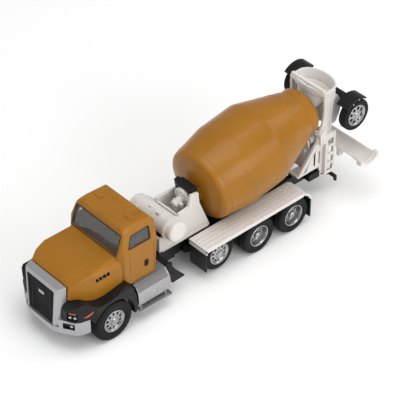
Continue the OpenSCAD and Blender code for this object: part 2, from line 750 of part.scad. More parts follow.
// ---------- rear pedestal, rollers, hopper ----------
module roller() {
  on_drum_axis() translate([-roller_down, roller_side, w_roller])
    rotate_extrude($fn = 48) polygon([
      [0, -3.2], [0.8, -3.2], [0.8, -1.8], [roller_r - 0.2, -1.8], [roller_r, -1.6],
      [roller_r, 1.6], [roller_r - 0.2, 1.8], [0.8, 1.8], [0.8, 3.2], [0, 3.2]
    ]);
}

module roller_left() color([0.5, 0.5, 0.5]) on_frame() roller();
module roller_right() color([0.5, 0.5, 0.5]) on_frame() mirror([0, 1, 0]) roller();

module rear_pedestal() color(white) on_frame() {
  difference() {
    union() {
      // outer side plates with the raked front leg
      both() side_plate([
        [-57.5, pad_top], [-60.5, pad_top], [-70.2, 33.4], [-70.2, pad_top],
        [-71.4, pad_top], [-71.4, 31.5], [-78.4, 31.5], [-78.4, 12.5], [-79.6, 12.5],
        [-79.6, 41], [-76.4, 41], [-71.8, 43.2], [-70.6, 37.8]
      ], 11.4, 12.8);
      // middle box on the rails
      difference() {
        block([-77.6, -8.4, pad_top], [-66, 8.4, 33]);
        block([-76.4, -7.2, pad_top - 1], [-67.2, 7.2, 31.8]);
      }
      // top bridge carrying the roller ears
      block([-78.4, -12.8, 31.6], [-70.4, 12.8, 33.2]);
      // slotted front panel
      difference() {
        block([-71.6, -12.8, 21], [-70.4, 12.8, 32]);
        both() for (y = [9.4, 10.9]) block([-73, y, 23], [-69, y + 0.7, 30]);
        mirror([0, 1, 0]) block([-73, 8.7, 20], [-69, 11.3, 24]);
      }
      // roller ears
      both() on_drum_axis() for (w = [-2.7, 2.7])
        translate([-roller_down, roller_side, w_roller + w - 0.5]) {
          cylinder(h = 1, r = 1.35, $fn = 32);
          translate([-7, -1.35, 0]) cube([7, 2.7, 1]);
        }
      // feet that tie the raked legs to the rails
      both() block([-65, rail_in, pad_top], [-57.5, 12.8, pad_top + 1.1]);
      // arm that carries the swing post of the chute
      block([-91, -2.6, 14.6], [-76, 2.6, 17.8]);
      translate([chute_x, 0, 14.6]) cylinder(h = 4.4, r = 3.1, $fn = 48);
      block([-79.4, -5.8, 14.2], [-76.2, 5.8, pad_top + 1]);
    }
    both() on_drum_axis() translate([-roller_down, roller_side, w_roller - 5])
      cylinder(h = 10, r = 0.8 + run_gap, $fn = 32);
    translate([chute_x, 0, 14]) cylinder(h = 6, r = 1.6 + run_gap, $fn = 32);
    block([-78, -5.9, 13], [-75.9, 5.9, 19.1]);
  }
}

module hopper_supports() color(white) on_frame()
  both() {
    side_plate([
      [-76.4, 41], [-79.6, 41], [-81.6, 53], [-82.6, 63.2], [-75, 63.2], [-75.3, 57],
      [-74.9, 51.5], [-74, 47.6], [-71.8, 43.2]
    ], 11.6, 12.8);
    block([-80.4, 12.7, 42], [-79.4, 13.4, 61]);
  }

module oval(x, z, a, b, h) {
  translate([x, 0, z]) scale([a, b, 1]) cylinder(h = h, r = 1, $fn = 48);
}

module hopper() color(white) on_frame()
  difference() {
    union() {
      hull() {
        oval(hopper_x, hopper_z - 1, 8.2, 12.4, 1);
        block([-77, -12.2, hopper_z - 1], [-74.8, 12.2, hopper_z]);
        oval(hopper_x + 0.6, hopper_z - 5, 7.2, 11.2, 0.5);
      }
      hull() {
        oval(hopper_x + 0.6, hopper_z - 5.2, 7.2, 11.2, 0.6);
        translate([-74.6, 0, 54.2]) rotate([0, 28, 0])
          oval(0, 0, 3.4, 5.4, 0.5);
      }
      both() side_plate([[-76.9, 58], [-82, 58], [-82.4, 64.4], [-76.9, 64.4]], 10.3, 11.6);
      both() side_plate([[-75, 63.2], [-82.6, 63.2], [-82.8, hopper_z - 0.6],
        [-74.8, hopper_z - 0.6]], 11.3, 12.8);
    }
    hull() {
      oval(hopper_x, hopper_z + 0.2, 7.4, 11.6, 1);
      block([-77.2, -11.4, hopper_z + 0.2], [-75.7, 11.4, hopper_z + 1.2]);
      oval(hopper_x + 0.6, hopper_z - 5, 6.3, 10.3, 0.5);
    }
    hull() {
      oval(hopper_x + 0.6, hopper_z - 5.3, 6.3, 10.3, 0.9);
      translate([-74.4, 0, 53.4]) rotate([0, 28, 0])
        oval(0, 0, 2.6, 4.6, 0.5);
    }
  }

// open-fronted funnel that gathers what falls from the mouth
module collector() color(white) on_frame()
  difference() {
    union() {
      translate([-84.3, 0, 39]) cylinder(h = 17.5, r1 = 4.9, r2 = 7.9, $fn = 64);
      translate([-84.3, 0, 36]) cylinder(h = 3.1, r = 4.9, $fn = 64);
      block([-84.3, -7.9, 52], [-77, 7.9, 56.5]);
      both() block([-85.4, 5.8, 47.4], [-80.5, 11.6, 49]);
    }
    translate([-84.3, 0, 38.99]) cylinder(h = 18.6, r1 = 4, r2 = 7.2, $fn = 64);
    translate([-84.3, 0, 35]) cylinder(h = 6, r = 4, $fn = 64);
    block([-84.3, -7.1, 38], [-70, 7.1, 60]);
    block([-79.4, -9, 30], [-70, 9, 51.9]);
    // clear of the drum's mouth as it turns
    on_drum_axis() translate([0, 0, 60]) cylinder(h = 14.2, r = 14, $fn = 64);
  }

module chute_yoke() color(white) on_frame() {
  translate([chute_x, 0, 14.2]) cylinder(h = 6, r = 1.6, $fn = 48);
  translate([chute_x, 0, 19.3]) cylinder(h = 1.2, r = 3.4, $fn = 48);
  difference() {
    union() {
      block([chute_x - 4.4, -2.2, 20.1], [chute_x + 4.4, 2.2, 21.1]);
      for (x = [-4.4, 3.4]) {
        block([chute_x + x, -2, 20.2], [chute_x + x + 1, 2, 23.4]);
        translate([chute_x + x, 0, 23.4]) rotate([0, 90, 0]) cylinder(h = 1, r = 2, $fn = 32);
      }
    }
    translate([chute_x - 6, 0, 23.4]) rotate([0, 90, 0])
      cylinder(h = 12, r = 0.9 + run_gap, $fn = 32);
  }
}

chute_arc = 6.3;
chute_cz = chute_z + 2.7;

module main_chute() color(white) on_frame() {
  difference() {
    union() {
      y_bar(chute_x, chute_cz, -5, chute_end, chute_arc);
      y_bar(chute_x, chute_cz, chute_end - 2.2, chute_end, chute_arc + 0.4);
      y_bar(chute_x, chute_cz, -5, -3.4, chute_arc + 0.4);
    }
    y_bar(chute_x, chute_cz, -6, chute_end + 1, chute_arc - 0.8);
    block([chute_x - 9, -7, chute_z], [chute_x + 9, chute_end + 2, chute_z + 12]);
  }
  // rolled lips
  for (s = [-1, 1])
    y_bar(chute_x + s * (chute_w - 0.3), chute_z - 0.2, -5, chute_end, 0.5);
  // hinge eye and pin under the root
  difference() {
    union() {
      translate([chute_x - 3.1, 0, 23.4]) rotate([0, 90, 0])
        cylinder(h = 6.2, r = 1.9, $fn = 32);
      block([chute_x - 3.1, -1.9, 23.4], [chute_x + 3.1, 1.9, 28.2]);
    }
    y_bar(chute_x, chute_cz, -6, chute_end + 1, chute_arc - 0.4);
  }
  translate([chute_x - 5.2, 0, 23.4]) rotate([0, 90, 0]) cylinder(h = 10.4, r = 0.9, $fn = 32);
  // stay bracket on the near side
  difference() {
    block([chute_x + 2.2, 14.6, 24.6], [chute_x + 5.4, 16.6, 30]);
    y_bar(chute_x, chute_cz, 13, 18, chute_arc - 0.4);
  }
}

// box shaped ladder on the near post, with four foot holes
module ladder() color(white) on_frame()
  difference() {
    block([-82.8, 12.8, 15.2], [-75.6, 14.9, 41.8]);
    block([-81.9, 12, 16.1], [-76.5, 14.1, 40.9]);
    for (z = [17, 22.7, 28.4, 34.1]) block([-81.3, 14, z], [-77.1, 16, z + 4]);
  }

// ---------- decks, flaps, bumper bar ----------
module deck() {
  long_bar([[11.7, 19.2], [11.7, 22], [25.1, 22], [25.1, 20.3], [24.55, 20.3], [24.55, 21.3],
    [12.4, 21.3], [12.4, 19.2]], -50, 18.3);
  for (y = [13.4:1.7:22]) block([-49.5, y, 21.9], [17.6, y + 0.55, 22.25]);
  block([-50, 23.9, 21.9], [18.3, 25.1, 22.3]);
  // front end wall and sloping tail
  block([17.5, 11.7, 19.2], [18.3, 25.1, 22]);
  side_plate([[-49.9, 21.2], [-49.9, 22.2], [-54.6, 18.6], [-56, 16.8], [-56, 15.9],
    [-55.2, 15.9], [-54.2, 17.9]], 11.7, 25.1);
  // hangers between the wheels
  for (x = [-7.2, -32.3]) block([x, rail_out, 17.6], [x + 1.4, 23.6, 21.3]);
  block([15.9, rail_out, 17.6], [17.6, 12.3, 20.6]);
}

module deck_left() color(white) on_frame() deck();
module deck_right() color(white) on_frame() mirror([0, 1, 0]) deck();

module mudflaps() color(black) on_frame()
  both() {
    block([17.5, 12.6, 7.6], [18.2, 24.5, 19.2]);
    block([-56, 13.2, 4], [-55.2, 24.7, 15.9]);
  }

module rear_bumper() color(black) on_frame() {
  block([-86.4, -14, 7.2], [-85.2, 14, 8.8]);
  both() {
    side_plate([[-86.4, 7.2], [-86.4, 8.8], [-79, rail_z + 1.4], [-79, rail_z],
      [-72, rail_z], [-72, rail_z - 1.4], [-77, rail_z - 1.6], [-84, 7.2]],
      rail_in, rail_out);
    block([-86.4, 12.6, 5.6], [-85.2, 14, 7.3]);
  }
}

module tail_lights() color([0.6, 0.05, 0.04]) on_frame()
  both() block([-86.9, 9.4, 7.4], [-86.4, 12.4, 8.6]);

// ---------- lift axle ----------
module lift_carrier() color(black) on_frame() {
  difference() {
    union() {
      y_bar(lift_x, lift_z, -14.6, 14.6, 2);
      both() hull() {
        y_bar(lift_pin[0], lift_pin[1], 9.1, 11.1, 2.2);
        y_bar(lift_x, lift_z, 9.1, 11.1, 2.1);
      }
    }
    y_bar(lift_x, lift_z, -16, 16, rod_r + run_gap);
    both() y_bar(lift_pin[0], lift_pin[1], 8, 13, 1 + run_gap);
  }
}

// ---------- booster axle ----------
module booster_frame() color(black) on_frame() {
  difference() {
    union() {
      // arm on the right, outside the collector and inside the hopper support
      side_plate([
        [-71.9, 15.5], [-72.1, 18.6], [-74.6, 21.6], [-87.4, 50.6], [-92.9, 56.2],
        [-95.9, 56.2], [-95.9, 51.6], [-91.6, 49.6], [-78.2, 19], [-76.6, 15.3],
        [-74, 13.9]
      ], -10.9, -8.9);
      // cranked beam behind the collector
      block([-95.9, -16.9, 52.2], [-93.2, 16.9, 56]);
      both() block([-95.9, 14.6, 51], [-87.4, 16.9, 54.2]);
    }
    y_bar(boost_pin[0], boost_pin[1], -12, -8, 1.5 + run_gap);
  }
  both() y_bar(boost_x, boost_z, 16.8, boost_y - 1.6, rod_r);
}

// quarter round guards over the booster tyres, open on the outside
module booster_fenders() color(black) on_frame()
  both() {
    intersection() {
      difference() {
        y_bar(boost_x, boost_z, 15.4, 23.5, 10.9);
        y_bar(boost_x, boost_z, 16.2, 24, 10.1);
      }
      translate([boost_x, 0, boost_z]) side_plate([
        [0, 0], [13 * cos(42), 13 * sin(42)], [18 * cos(83), 18 * sin(83)],
        [13 * cos(124), 13 * sin(124)]
      ], 15, 24);
      block([boost_x - 14, 15, 55.4], [boost_x + 14, 24, 70]);
    }
    block([boost_x - 2.4, 15.4, 54.2], [boost_x + 1.4, 16.2, 56.4]);
  }

frame_rails();
rear_suspension();
front_axle_beam();
drivetrain();
base_plate();
base_screws();
cab_shell();
hood();
glazing();
cab_interior();
steering_wheel();
door_handles();
hood_vents();
grille_surround();
grille_mesh();
bumper();
fog_lamps();
headlights();
marker_lights();
fender_left();
fender_right();
step_tank_left();
step_tank_right();
side_panels();
water_tank();
tank_fittings();
front_pedestal();
drum_gearbox();
drum_motor();
drum_shell();
drum_fins();
rear_pedestal();
roller_left();
roller_right();
hopper_supports();
hopper();
collector();
chute_yoke();
main_chute();
ladder();
deck_left();
deck_right();
mudflaps();
rear_bumper();
tail_lights();
lift_carrier();
lift_rims();
lift_tyres();
front_rims();
front_tyres();
drive_rims_1();
drive_tyres_1();
drive_rims_2();
drive_tyres_2();
booster_frame();
booster_fenders();
booster_rim_left();
booster_tyre_left();
booster_rim_right();
booster_tyre_right();
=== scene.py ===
import math
import bmesh
import bpy
from mathutils import Matrix, Vector


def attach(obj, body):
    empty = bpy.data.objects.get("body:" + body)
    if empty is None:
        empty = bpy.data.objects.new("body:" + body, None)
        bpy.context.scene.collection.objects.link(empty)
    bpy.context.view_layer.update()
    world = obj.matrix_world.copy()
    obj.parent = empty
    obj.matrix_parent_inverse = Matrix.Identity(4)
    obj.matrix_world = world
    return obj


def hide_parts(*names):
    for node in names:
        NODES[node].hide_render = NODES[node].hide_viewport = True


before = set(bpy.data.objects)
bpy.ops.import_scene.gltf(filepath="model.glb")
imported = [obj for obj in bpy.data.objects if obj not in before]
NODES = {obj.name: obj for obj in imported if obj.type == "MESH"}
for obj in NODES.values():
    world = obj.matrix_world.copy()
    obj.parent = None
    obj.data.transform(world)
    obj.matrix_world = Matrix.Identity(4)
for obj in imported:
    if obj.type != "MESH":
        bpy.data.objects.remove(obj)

MM = 0.001
SHIFT_X, SHIFT_Y = 3.3, 4.35  # the truck's own lines against the library frame, in mm
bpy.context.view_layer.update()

# Driving sizes on the truck's own lines, in mm: x forward, y left, z up from the ground
DRUM_Z, DRUM_TILT = 40.3, 9.92  # height of the drum's axis at x = 0, and its slope in degrees
CAB_REAR, CAB_W, CAB_Z, ROOF_Z = 46.0, 20.2, 23.5, 57.2  # rear face, half width, sill, roof
WALL = 1.2  # thickness of the cab and hood
BUMPER_Z = 20.2  # top of the bumper, where the fenders end
SCREEN_X, SCREEN_LOW, SCREEN_HIGH, SCREEN_RAKE = 103.5, 14.9, 36.0, 0.053  # woven screen
LAMP_TURN = 32.2  # how far the lamps face round from straight ahead, in degrees
HEAD_LAMP, FOG_LAMP = (99.3, 18.93, 23.9), (100.5, 17.3, 16.9)
CHUTE_X, CHUTE_CZ, CHUTE_TOP = -89.5, 33.2, 30.6  # trough: centre line and rim height
PAD_TOP = 20.8  # foot of the front pedestal
DECK_IN, DECK_OUT = 11.7, 25.1  # inner and outer edge of the side decks


# ---------- small helpers ----------
def at(x, y, z):
    """A point on the truck's own lines, in mm, as a place in the frame, in metres."""
    return Vector((x - SHIFT_X, y - SHIFT_Y, z)) * MM


def new_mat(name):
    """A node material, with its tree, its shader and its object coordinates."""
    m = bpy.data.materials.new(name)
    m.use_nodes = True
    nt = m.node_tree
    bsdf = next(n for n in nt.nodes if n.type == "BSDF_PRINCIPLED")
    coord = nt.nodes.new("ShaderNodeTexCoord")
    return m, nt, bsdf, coord.outputs["Object"]


def noise(nt, vec, scale, detail=3.0, rough=0.5):
    n = nt.nodes.new("ShaderNodeTexNoise")
    n.inputs["Scale"].default_value = scale
    n.inputs["Detail"].default_value = detail
    n.inputs["Roughness"].default_value = rough
    nt.links.new(vec, n.inputs["Vector"])
    return n.outputs["Fac"]


def ramp(nt, fac, stops):
    r = nt.nodes.new("ShaderNodeValToRGB")
    el = r.color_ramp.elements
    while len(el) < len(stops):
        el.new(0.5)
    for e, (p, c) in zip(el, stops):
        e.position = p
        e.color = (*c, 1.0)
    nt.links.new(fac, r.inputs["Fac"])
    return r.outputs["Color"]


def spread(nt, fac, lo, hi, a=0.3, b=0.7):
    """Maps a to b onto lo to hi."""
    r = nt.nodes.new("ShaderNodeMapRange")
    r.inputs["From Min"].default_value = a
    r.inputs["From Max"].default_value = b
    r.inputs["To Min"].default_value = lo
    r.inputs["To Max"].default_value = hi
    nt.links.new(fac, r.inputs["Value"])
    return r.outputs["Result"]


def mix(nt, fac, a, b):
    """Blends colour a into colour b by fac."""
    m = nt.nodes.new("ShaderNodeMix")
    m.data_type = "RGBA"
    nt.links.new(fac, m.inputs["Factor"])
    for v, name in ((a, "A"), (b, "B")):
        s = [i for i in m.inputs if i.name == name and i.type == "RGBA"][0]
        if isinstance(v, tuple):
            s.default_value = (*v, 1.0)
        else:
            nt.links.new(v, s)
    return [o for o in m.outputs if o.type == "RGBA"][0]


def bump(nt, bsdf, height, strength, dist):
    b = nt.nodes.new("ShaderNodeBump")
    b.inputs["Strength"].default_value = strength
    b.inputs["Distance"].default_value = dist
    nt.links.new(height, b.inputs["Height"])
    nt.links.new(b.outputs["Normal"], bsdf.inputs["Normal"])


def edge_mask(nt, radius=0.00035):
    """1 on worn outer edges, 0 on the flats."""
    bv = nt.nodes.new("ShaderNodeBevel")
    bv.samples = 4
    bv.inputs["Radius"].default_value = radius
    geo = nt.nodes.new("ShaderNodeNewGeometry")
    dot = nt.nodes.new("ShaderNodeVectorMath")
    dot.operation = "DOT_PRODUCT"
    nt.links.new(bv.outputs["Normal"], dot.inputs[0])
    nt.links.new(geo.outputs["Normal"], dot.inputs[1])
    return spread(nt, dot.outputs["Value"], 1.0, 0.0, 0.86, 0.995)


def solid_mat(name, dark, mid, light, rough, grain, metallic=0.0, coat=0.0, spec=0.5,
              wear=None, wear_amount=0.5, mottle=55.0, bump_dist=0.00002, rough_var=0.08,
              coat_rough=0.15):
    """A solid finish: mottled colour, uneven gloss, fine grain, and paler worn edges."""
    m, nt, bsdf, vec = new_mat(name)
    base = ramp(nt, noise(nt, vec, mottle, 4.0, 0.55), [(0.25, dark), (0.5, mid), (0.78, light)])
    if wear:
        em = edge_mask(nt)
        brk = spread(nt, noise(nt, vec, 420.0, 3.0, 0.6), 0.0, wear_amount, 0.35, 0.65)
        mul = nt.nodes.new("ShaderNodeMath")
        mul.operation = "MULTIPLY"
        nt.links.new(em, mul.inputs[0])
        nt.links.new(brk, mul.inputs[1])
        base = mix(nt, mul.outputs[0], base, wear)
    nt.links.new(base, bsdf.inputs["Base Color"])
    bsdf.inputs["Metallic"].default_value = metallic
    bsdf.inputs["Specular IOR Level"].default_value = spec
    bsdf.inputs["Coat Weight"].default_value = coat
    bsdf.inputs["Coat Roughness"].default_value = coat_rough
    nt.links.new(spread(nt, noise(nt, vec, 160.0, 4.0, 0.6), rough - rough_var,
                        rough + rough_var), bsdf.inputs["Roughness"])
    bump(nt, bsdf, noise(nt, vec, grain, 3.0, 0.6), 0.35, bump_dist)
    m.diffuse_color = (*mid, 1.0)
    return m


# ---------- materials ----------
MAT = {
    "ochre": solid_mat("ochre_enamel", (0.290, 0.116, 0.0065), (0.318, 0.130, 0.008),
                       (0.345, 0.145, 0.0105), 0.36, 900.0, coat=0.14, spec=0.2,
                       wear=(0.46, 0.25, 0.07), wear_amount=0.3, coat_rough=0.16),
    "white": solid_mat("warm_white_plastic", (0.62, 0.588, 0.55), (0.67, 0.64, 0.605),
                       (0.71, 0.685, 0.655), 0.42, 1500.0, spec=0.35, wear=(0.84, 0.82, 0.8),
                       wear_amount=0.4),
    "black": solid_mat("black_plastic", (0.0035, 0.0036, 0.0042), (0.0052, 0.0053, 0.006),
                       (0.0085, 0.0086, 0.0092), 0.42, 1800.0, spec=0.24,
                       wear=(0.03, 0.03, 0.031), wear_amount=0.4),
    "rubber": solid_mat("tyre_rubber", (0.0045, 0.0045, 0.0048), (0.007, 0.007, 0.0073),
                        (0.013, 0.0125, 0.012), 0.62, 2200.0, spec=0.2,
                        wear=(0.028, 0.027, 0.026), wear_amount=0.5, bump_dist=0.00004),
    "silver": solid_mat("satin_silver", (0.35, 0.35, 0.36), (0.40, 0.40, 0.41),
                        (0.45, 0.45, 0.46), 0.32, 1300.0, metallic=0.7, wear=(0.68, 0.68, 0.68),
                        wear_amount=0.25, rough_var=0.04, mottle=25.0, bump_dist=0.000008),
    "rim": solid_mat("rim_silver", (0.34, 0.34, 0.345), (0.42, 0.42, 0.42),
                     (0.50, 0.50, 0.50), 0.28, 1300.0, metallic=1.0, wear=(0.7, 0.7, 0.69),
                     wear_amount=0.35, rough_var=0.06, bump_dist=0.000012),
    # grey plastic for the rollers and hoses; the same grey is painted shade on the collector's
    # sides
    "grey": solid_mat("grey_plastic", (0.40, 0.40, 0.39), (0.47, 0.47, 0.455),
                      (0.53, 0.53, 0.51), 0.45, 1500.0, spec=0.35),
    "tread": solid_mat("tread_strip", (0.16, 0.155, 0.15), (0.21, 0.205, 0.2),
                       (0.27, 0.265, 0.26), 0.5, 1500.0, metallic=0.5),
    "steel": solid_mat("plated_steel", (0.36, 0.36, 0.36), (0.45, 0.45, 0.45),
                       (0.52, 0.52, 0.51), 0.3, 1500.0, metallic=1.0),
    # dark cast metal for the drivetrain; the same dark finish is painted shade on the discs behind
    # the rim holes
    "dark": solid_mat("dark_cast_metal_and_hole_shade", (0.008, 0.008, 0.009), (0.012, 0.012, 0.013),
                      (0.02, 0.02, 0.021), 0.5, 900.0, metallic=0.3, spec=0.25,
                      bump_dist=0.00006),
    "amber": solid_mat("amber_lens", (0.42, 0.06, 0.012), (0.52, 0.08, 0.016),
                       (0.6, 0.11, 0.025), 0.2, 700.0, coat=0.3, rough_var=0.03),
    "red": solid_mat("red_lens", (0.30, 0.012, 0.008), (0.38, 0.016, 0.01),
                     (0.45, 0.025, 0.015), 0.15, 700.0, coat=0.4, rough_var=0.03),
    "lamp": solid_mat("lamp_reflector", (0.30, 0.31, 0.32), (0.38, 0.39, 0.40),
                      (0.48, 0.49, 0.5), 0.14, 2600.0, metallic=0.6, coat=0.6, rough_var=0.04,
                      coat_rough=0.05),
    "trim": solid_mat("cabin_trim", (0.018, 0.017, 0.017), (0.028, 0.026, 0.026),
                      (0.04, 0.037, 0.037), 0.6, 2400.0, spec=0.3, bump_dist=0.00005),
}


def glass_mat():
    m, nt, bsdf, vec = new_mat("tinted_glazing")
    nt.links.new(ramp(nt, noise(nt, vec, 40.0), [(0.3, (0.66, 0.645, 0.64)),
                                                 (0.7, (0.74, 0.725, 0.72))]),
                 bsdf.inputs["Base Color"])
    bsdf.inputs["Transmission Weight"].default_value = 0.95
    bsdf.inputs["IOR"].default_value = 1.46
    nt.links.new(spread(nt, noise(nt, vec, 260.0, 4.0), 0.03, 0.09), bsdf.inputs["Roughness"])
    bump(nt, bsdf, noise(nt, vec, 90.0, 2.0), 0.2, 0.00003)
    m.diffuse_color = (0.1, 0.11, 0.12, 1.0)
    return m


MAT["glass"] = glass_mat()


# ---------- mesh tools, all in the truck's own millimetres ----------
def to_object(bm):
    """A closed mesh object from a bmesh, with its faces turned outward."""
    bmesh.ops.remove_doubles(bm, verts=bm.verts, dist=1e-7)
    bmesh.ops.recalc_face_normals(bm, faces=bm.faces)
    mesh = bpy.data.meshes.new("tool")
    bm.to_mesh(mesh)
    bm.free()
    obj = bpy.data.objects.new("tool", mesh)
    bpy.context.scene.collection.objects.link(obj)
    return obj


def bake(obj):
    """Applies the modifiers of an object."""
    bpy.context.view_layer.update()
    seen = obj.evaluated_get(bpy.context.evaluated_depsgraph_get())
    mesh = bpy.data.meshes.new_from_object(seen)
    obj.modifiers.clear()
    obj.data = mesh
    return obj


def prism(points, axis, lo, hi):
    """An outline pushed along one axis: (x, z) along y, (y, z) along x, (x, y) along z."""
    bm = bmesh.new()
    place = {"y": lambda p, h: at(p[0], h, p[1]), "x": lambda p, h: at(h, p[0], p[1]),
             "z": lambda p, h: at(p[0], p[1], h)}[axis]
    ends = [[bm.verts.new(place(p, h)) for p in points] for h in (lo, hi)]
    bm.faces.new(ends[0])
    bm.faces.new(ends[1])
    for i in range(len(points)):
        j = (i + 1) % len(points)
        bm.faces.new((ends[0][i], ends[0][j], ends[1][j], ends[1][i]))
    return to_object(bm)


def block(a, b):
    """A box between two corners."""
    return prism([(a[0], a[1]), (b[0], a[1]), (b[0], b[1]), (a[0], b[1])], "z", a[2], b[2])


def combine(obj, other, how="DIFFERENCE"):
    m = obj.modifiers.new("cut", "BOOLEAN")
    m.operation = how
    m.solver = "EXACT"
    m.object = other
    bake(obj)
    bpy.data.objects.remove(other)
    return obj


def meet(*shapes):
    """What all the shapes have in common."""
    first = shapes[0]
    for s in shapes[1:]:
        combine(first, s, "INTERSECT")
    return first


def join(shapes):
    """One object out of several, without merging them."""
    bm = bmesh.new()
    for s in shapes:
        part = s.data.copy()
        part.transform(s.matrix_world)
        bm.from_mesh(part)
        bpy.data.objects.remove(s)
    mesh = bpy.data.meshes.new("joined")
    bm.to_mesh(mesh)
    bm.free()
    obj = bpy.data.objects.new("joined", mesh)
    bpy.context.scene.collection.objects.link(obj)
    return obj


def soften(obj, width, segments=3, angle=20):
    """Rounds the edges of a shape."""
    m = obj.modifiers.new("round", "BEVEL")
    m.limit_method = "ANGLE"
    m.angle_limit = math.radians(angle)
    m.width = width * MM
    m.segments = segments
    return bake(obj)


def mirrored(obj):
    """A copy on the truck's other side."""
    other = obj.copy()
    other.data = obj.data.copy()
    bpy.context.scene.collection.objects.link(other)
    flip = Matrix.Translation((0, -2 * SHIFT_Y * MM, 0)) @ Matrix.Scale(-1, 4, (0, 1, 0))
    other.data.transform(flip)
    other.data.flip_normals()
    return other


def turned(profile, steps=96, closed=True, dent=None):
    """A bmesh of a profile of (radius, height) turned about the local z axis."""
    bm = bmesh.new()
    rings = []
    for k in range(steps):
        a = 2 * math.pi * k / steps
        ring = []
        for i, (r, z) in enumerate(profile):
            rr = r - (dent(i, k) if dent else 0.0)
            ring.append(bm.verts.new((rr * math.cos(a), rr * math.sin(a), z)))
        rings.append(ring)
    last = len(profile) if closed else len(profile) - 1
    for k in range(steps):
        n = (k + 1) % steps
        for i in range(last):
            j = (i + 1) % len(profile)
            quad = (rings[k][i], rings[k][j], rings[n][j], rings[n][i])
            if profile[i][0] < 1e-6 and profile[j][0] < 1e-6:
                continue
            bm.faces.new(quad)
    bmesh.ops.remove_doubles(bm, verts=bm.verts, dist=1e-5)
    return bm


def rounded(points, radius, steps=4):
    """A closed outline with its corners rounded off."""
    out = []
    for i, p in enumerate(points):
        p = Vector(p)
        a = Vector(points[i - 1]) - p
        b = Vector(points[(i + 1) % len(points)]) - p
        cut = min(radius, a.length * 0.4, b.length * 0.4)
        p0, p1 = p + a.normalized() * cut, p + b.normalized() * cut
        for k in range(steps + 1):
            t = k / steps
            out.append(tuple(p0 * (1 - t) ** 2 + p * 2 * t * (1 - t) + p1 * t ** 2))
    return out


def on_wheel(bm, x, y, z):
    """A bmesh turned about local z, set as a wheel whose outer face is at y."""
    bm.transform(Matrix(((MM, 0, 0, (x - SHIFT_X) * MM), (0, 0, MM, (y - SHIFT_Y) * MM),
                         (0, MM, 0, z * MM), (0, 0, 0, 1))))
    return to_object(bm)


def on_drum(bm):
    """A bmesh turned about local z, set on the drum's axis."""
    a = math.radians(DRUM_TILT - 90)
    s, c = math.sin(a), math.cos(a)
    bm.transform(Matrix(((c * MM, 0, s * MM, -SHIFT_X * MM), (0, MM, 0, -SHIFT_Y * MM),
                         (-s * MM, 0, c * MM, DRUM_Z * MM), (0, 0, 0, 1))))
    return to_object(bm)


def tube(points, radius, closed=False):
    """A round wire along points, as a mesh."""
    curve = bpy.data.curves.new("wire", "CURVE")
    curve.dimensions = "3D"
    curve.bevel_depth = radius * MM
    curve.bevel_resolution = 3
    curve.use_fill_caps = True
    line = curve.splines.new("POLY")
    line.points.add(len(points) - 1)
    for knot, p in zip(line.points, points):
        knot.co = (*at(*p), 1.0)
    line.use_cyclic_u = closed
    obj = bpy.data.objects.new("wire", curve)
    bpy.context.scene.collection.objects.link(obj)
    bpy.context.view_layer.update()
    mesh = bpy.data.meshes.new_from_object(obj.evaluated_get(
        bpy.context.evaluated_depsgraph_get()))
    bpy.data.objects.remove(obj)
    out = bpy.data.objects.new("wire", mesh)
    bpy.context.scene.collection.objects.link(out)
    return out


def shade_edges(obj, width=0.12):
    """Small soft edges, so that flats stay flat and corners catch the light."""
    d = obj.modifiers.new("flats", "DECIMATE")
    d.decimate_type = "DISSOLVE"
    d.angle_limit = math.radians(0.6)
    b = obj.modifiers.new("edges", "BEVEL")
    b.limit_method = "ANGLE"
    b.angle_limit = math.radians(28)
    b.width = width * MM
    b.segments = 2
    w = obj.modifiers.new("shade", "WEIGHTED_NORMAL")
    w.weight = 80
    w.keep_sharp = False


def piece(obj, name, finish, body, *nodes, edge=0.12):
    """Names a new piece, gives it its finish, and lets it ride on its body."""
    obj.name = obj.data.name = name
    obj.data.materials.clear()
    obj.data.materials.append(MAT[finish])
    for p in obj.data.polygons:
        p.use_smooth = True
    if edge:
        shade_edges(obj, edge)
    if nodes:
        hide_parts(*nodes)
    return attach(obj, body)


def pair(obj, name, finish, left_nodes=(), right_nodes=(), edge=0.12):
    """A piece on the truck's left and its mirror image on the right."""
    other = mirrored(obj)
    piece(obj, name + "_left", finish, "truck", *left_nodes, edge=edge)
    piece(other, name + "_right", finish, "truck", *right_nodes, edge=edge)


def bolt(x, y, z, r, high=0.3, sink=0.3, steps=6):
    """A bolt head that faces left at y, with its shank sunk into the surface."""
    head = [(0, high), (r - 0.1, high), (r, high - 0.2), (r, -sink), (0, -sink)]
    return on_wheel(turned(head, steps, closed=False), x, y, z)


def turned_place(obj, place, degrees):
    """Turns a shape made at the origin about the vertical, and moves it to its place."""
    turn = Matrix.Rotation(math.radians(degrees), 4, "Z")
    obj.data.transform(Matrix.Translation(at(*place)) @ turn @ Matrix.Translation(-at(0, 0, 0)))
    return obj


def at_front(bm, y, z):
    """A bmesh turned about local z, set to face forward at the origin's y and z."""
    bm.transform(Matrix(((0, 0, MM, -SHIFT_X * MM), (0, MM, 0, (y - SHIFT_Y) * MM),
                         (MM, 0, 0, z * MM), (0, 0, 0, 1))))
    return to_object(bm)


# The CAD nodes that are shown as they are
FINISH = {
    "ochre": ["drum_fins"],
    "white": ["water_tank", "tank_fittings", "rear_pedestal", "hopper_supports", "hopper",
              "collector", "chute_yoke", "main_chute", "ladder"],
    "black": ["frame_rails", "rear_suspension", "front_axle_beam", "base_plate", "mudflaps",
              "rear_bumper", "lift_carrier", "booster_frame", "booster_fenders"],
    "trim": ["cab_interior", "steering_wheel"],
    "dark": ["drivetrain"],
    "grey": ["roller_left", "roller_right"],
    "silver": ["bumper"],
    "steel": ["base_screws"],
    "glass": ["glazing"],
    "red": ["tail_lights"],
}
BEVELS = {"bumper": 0.3, "water_tank": 0.5, "rear_pedestal": 0.2, "hopper_supports": 0.25,
          "ladder": 0.18}

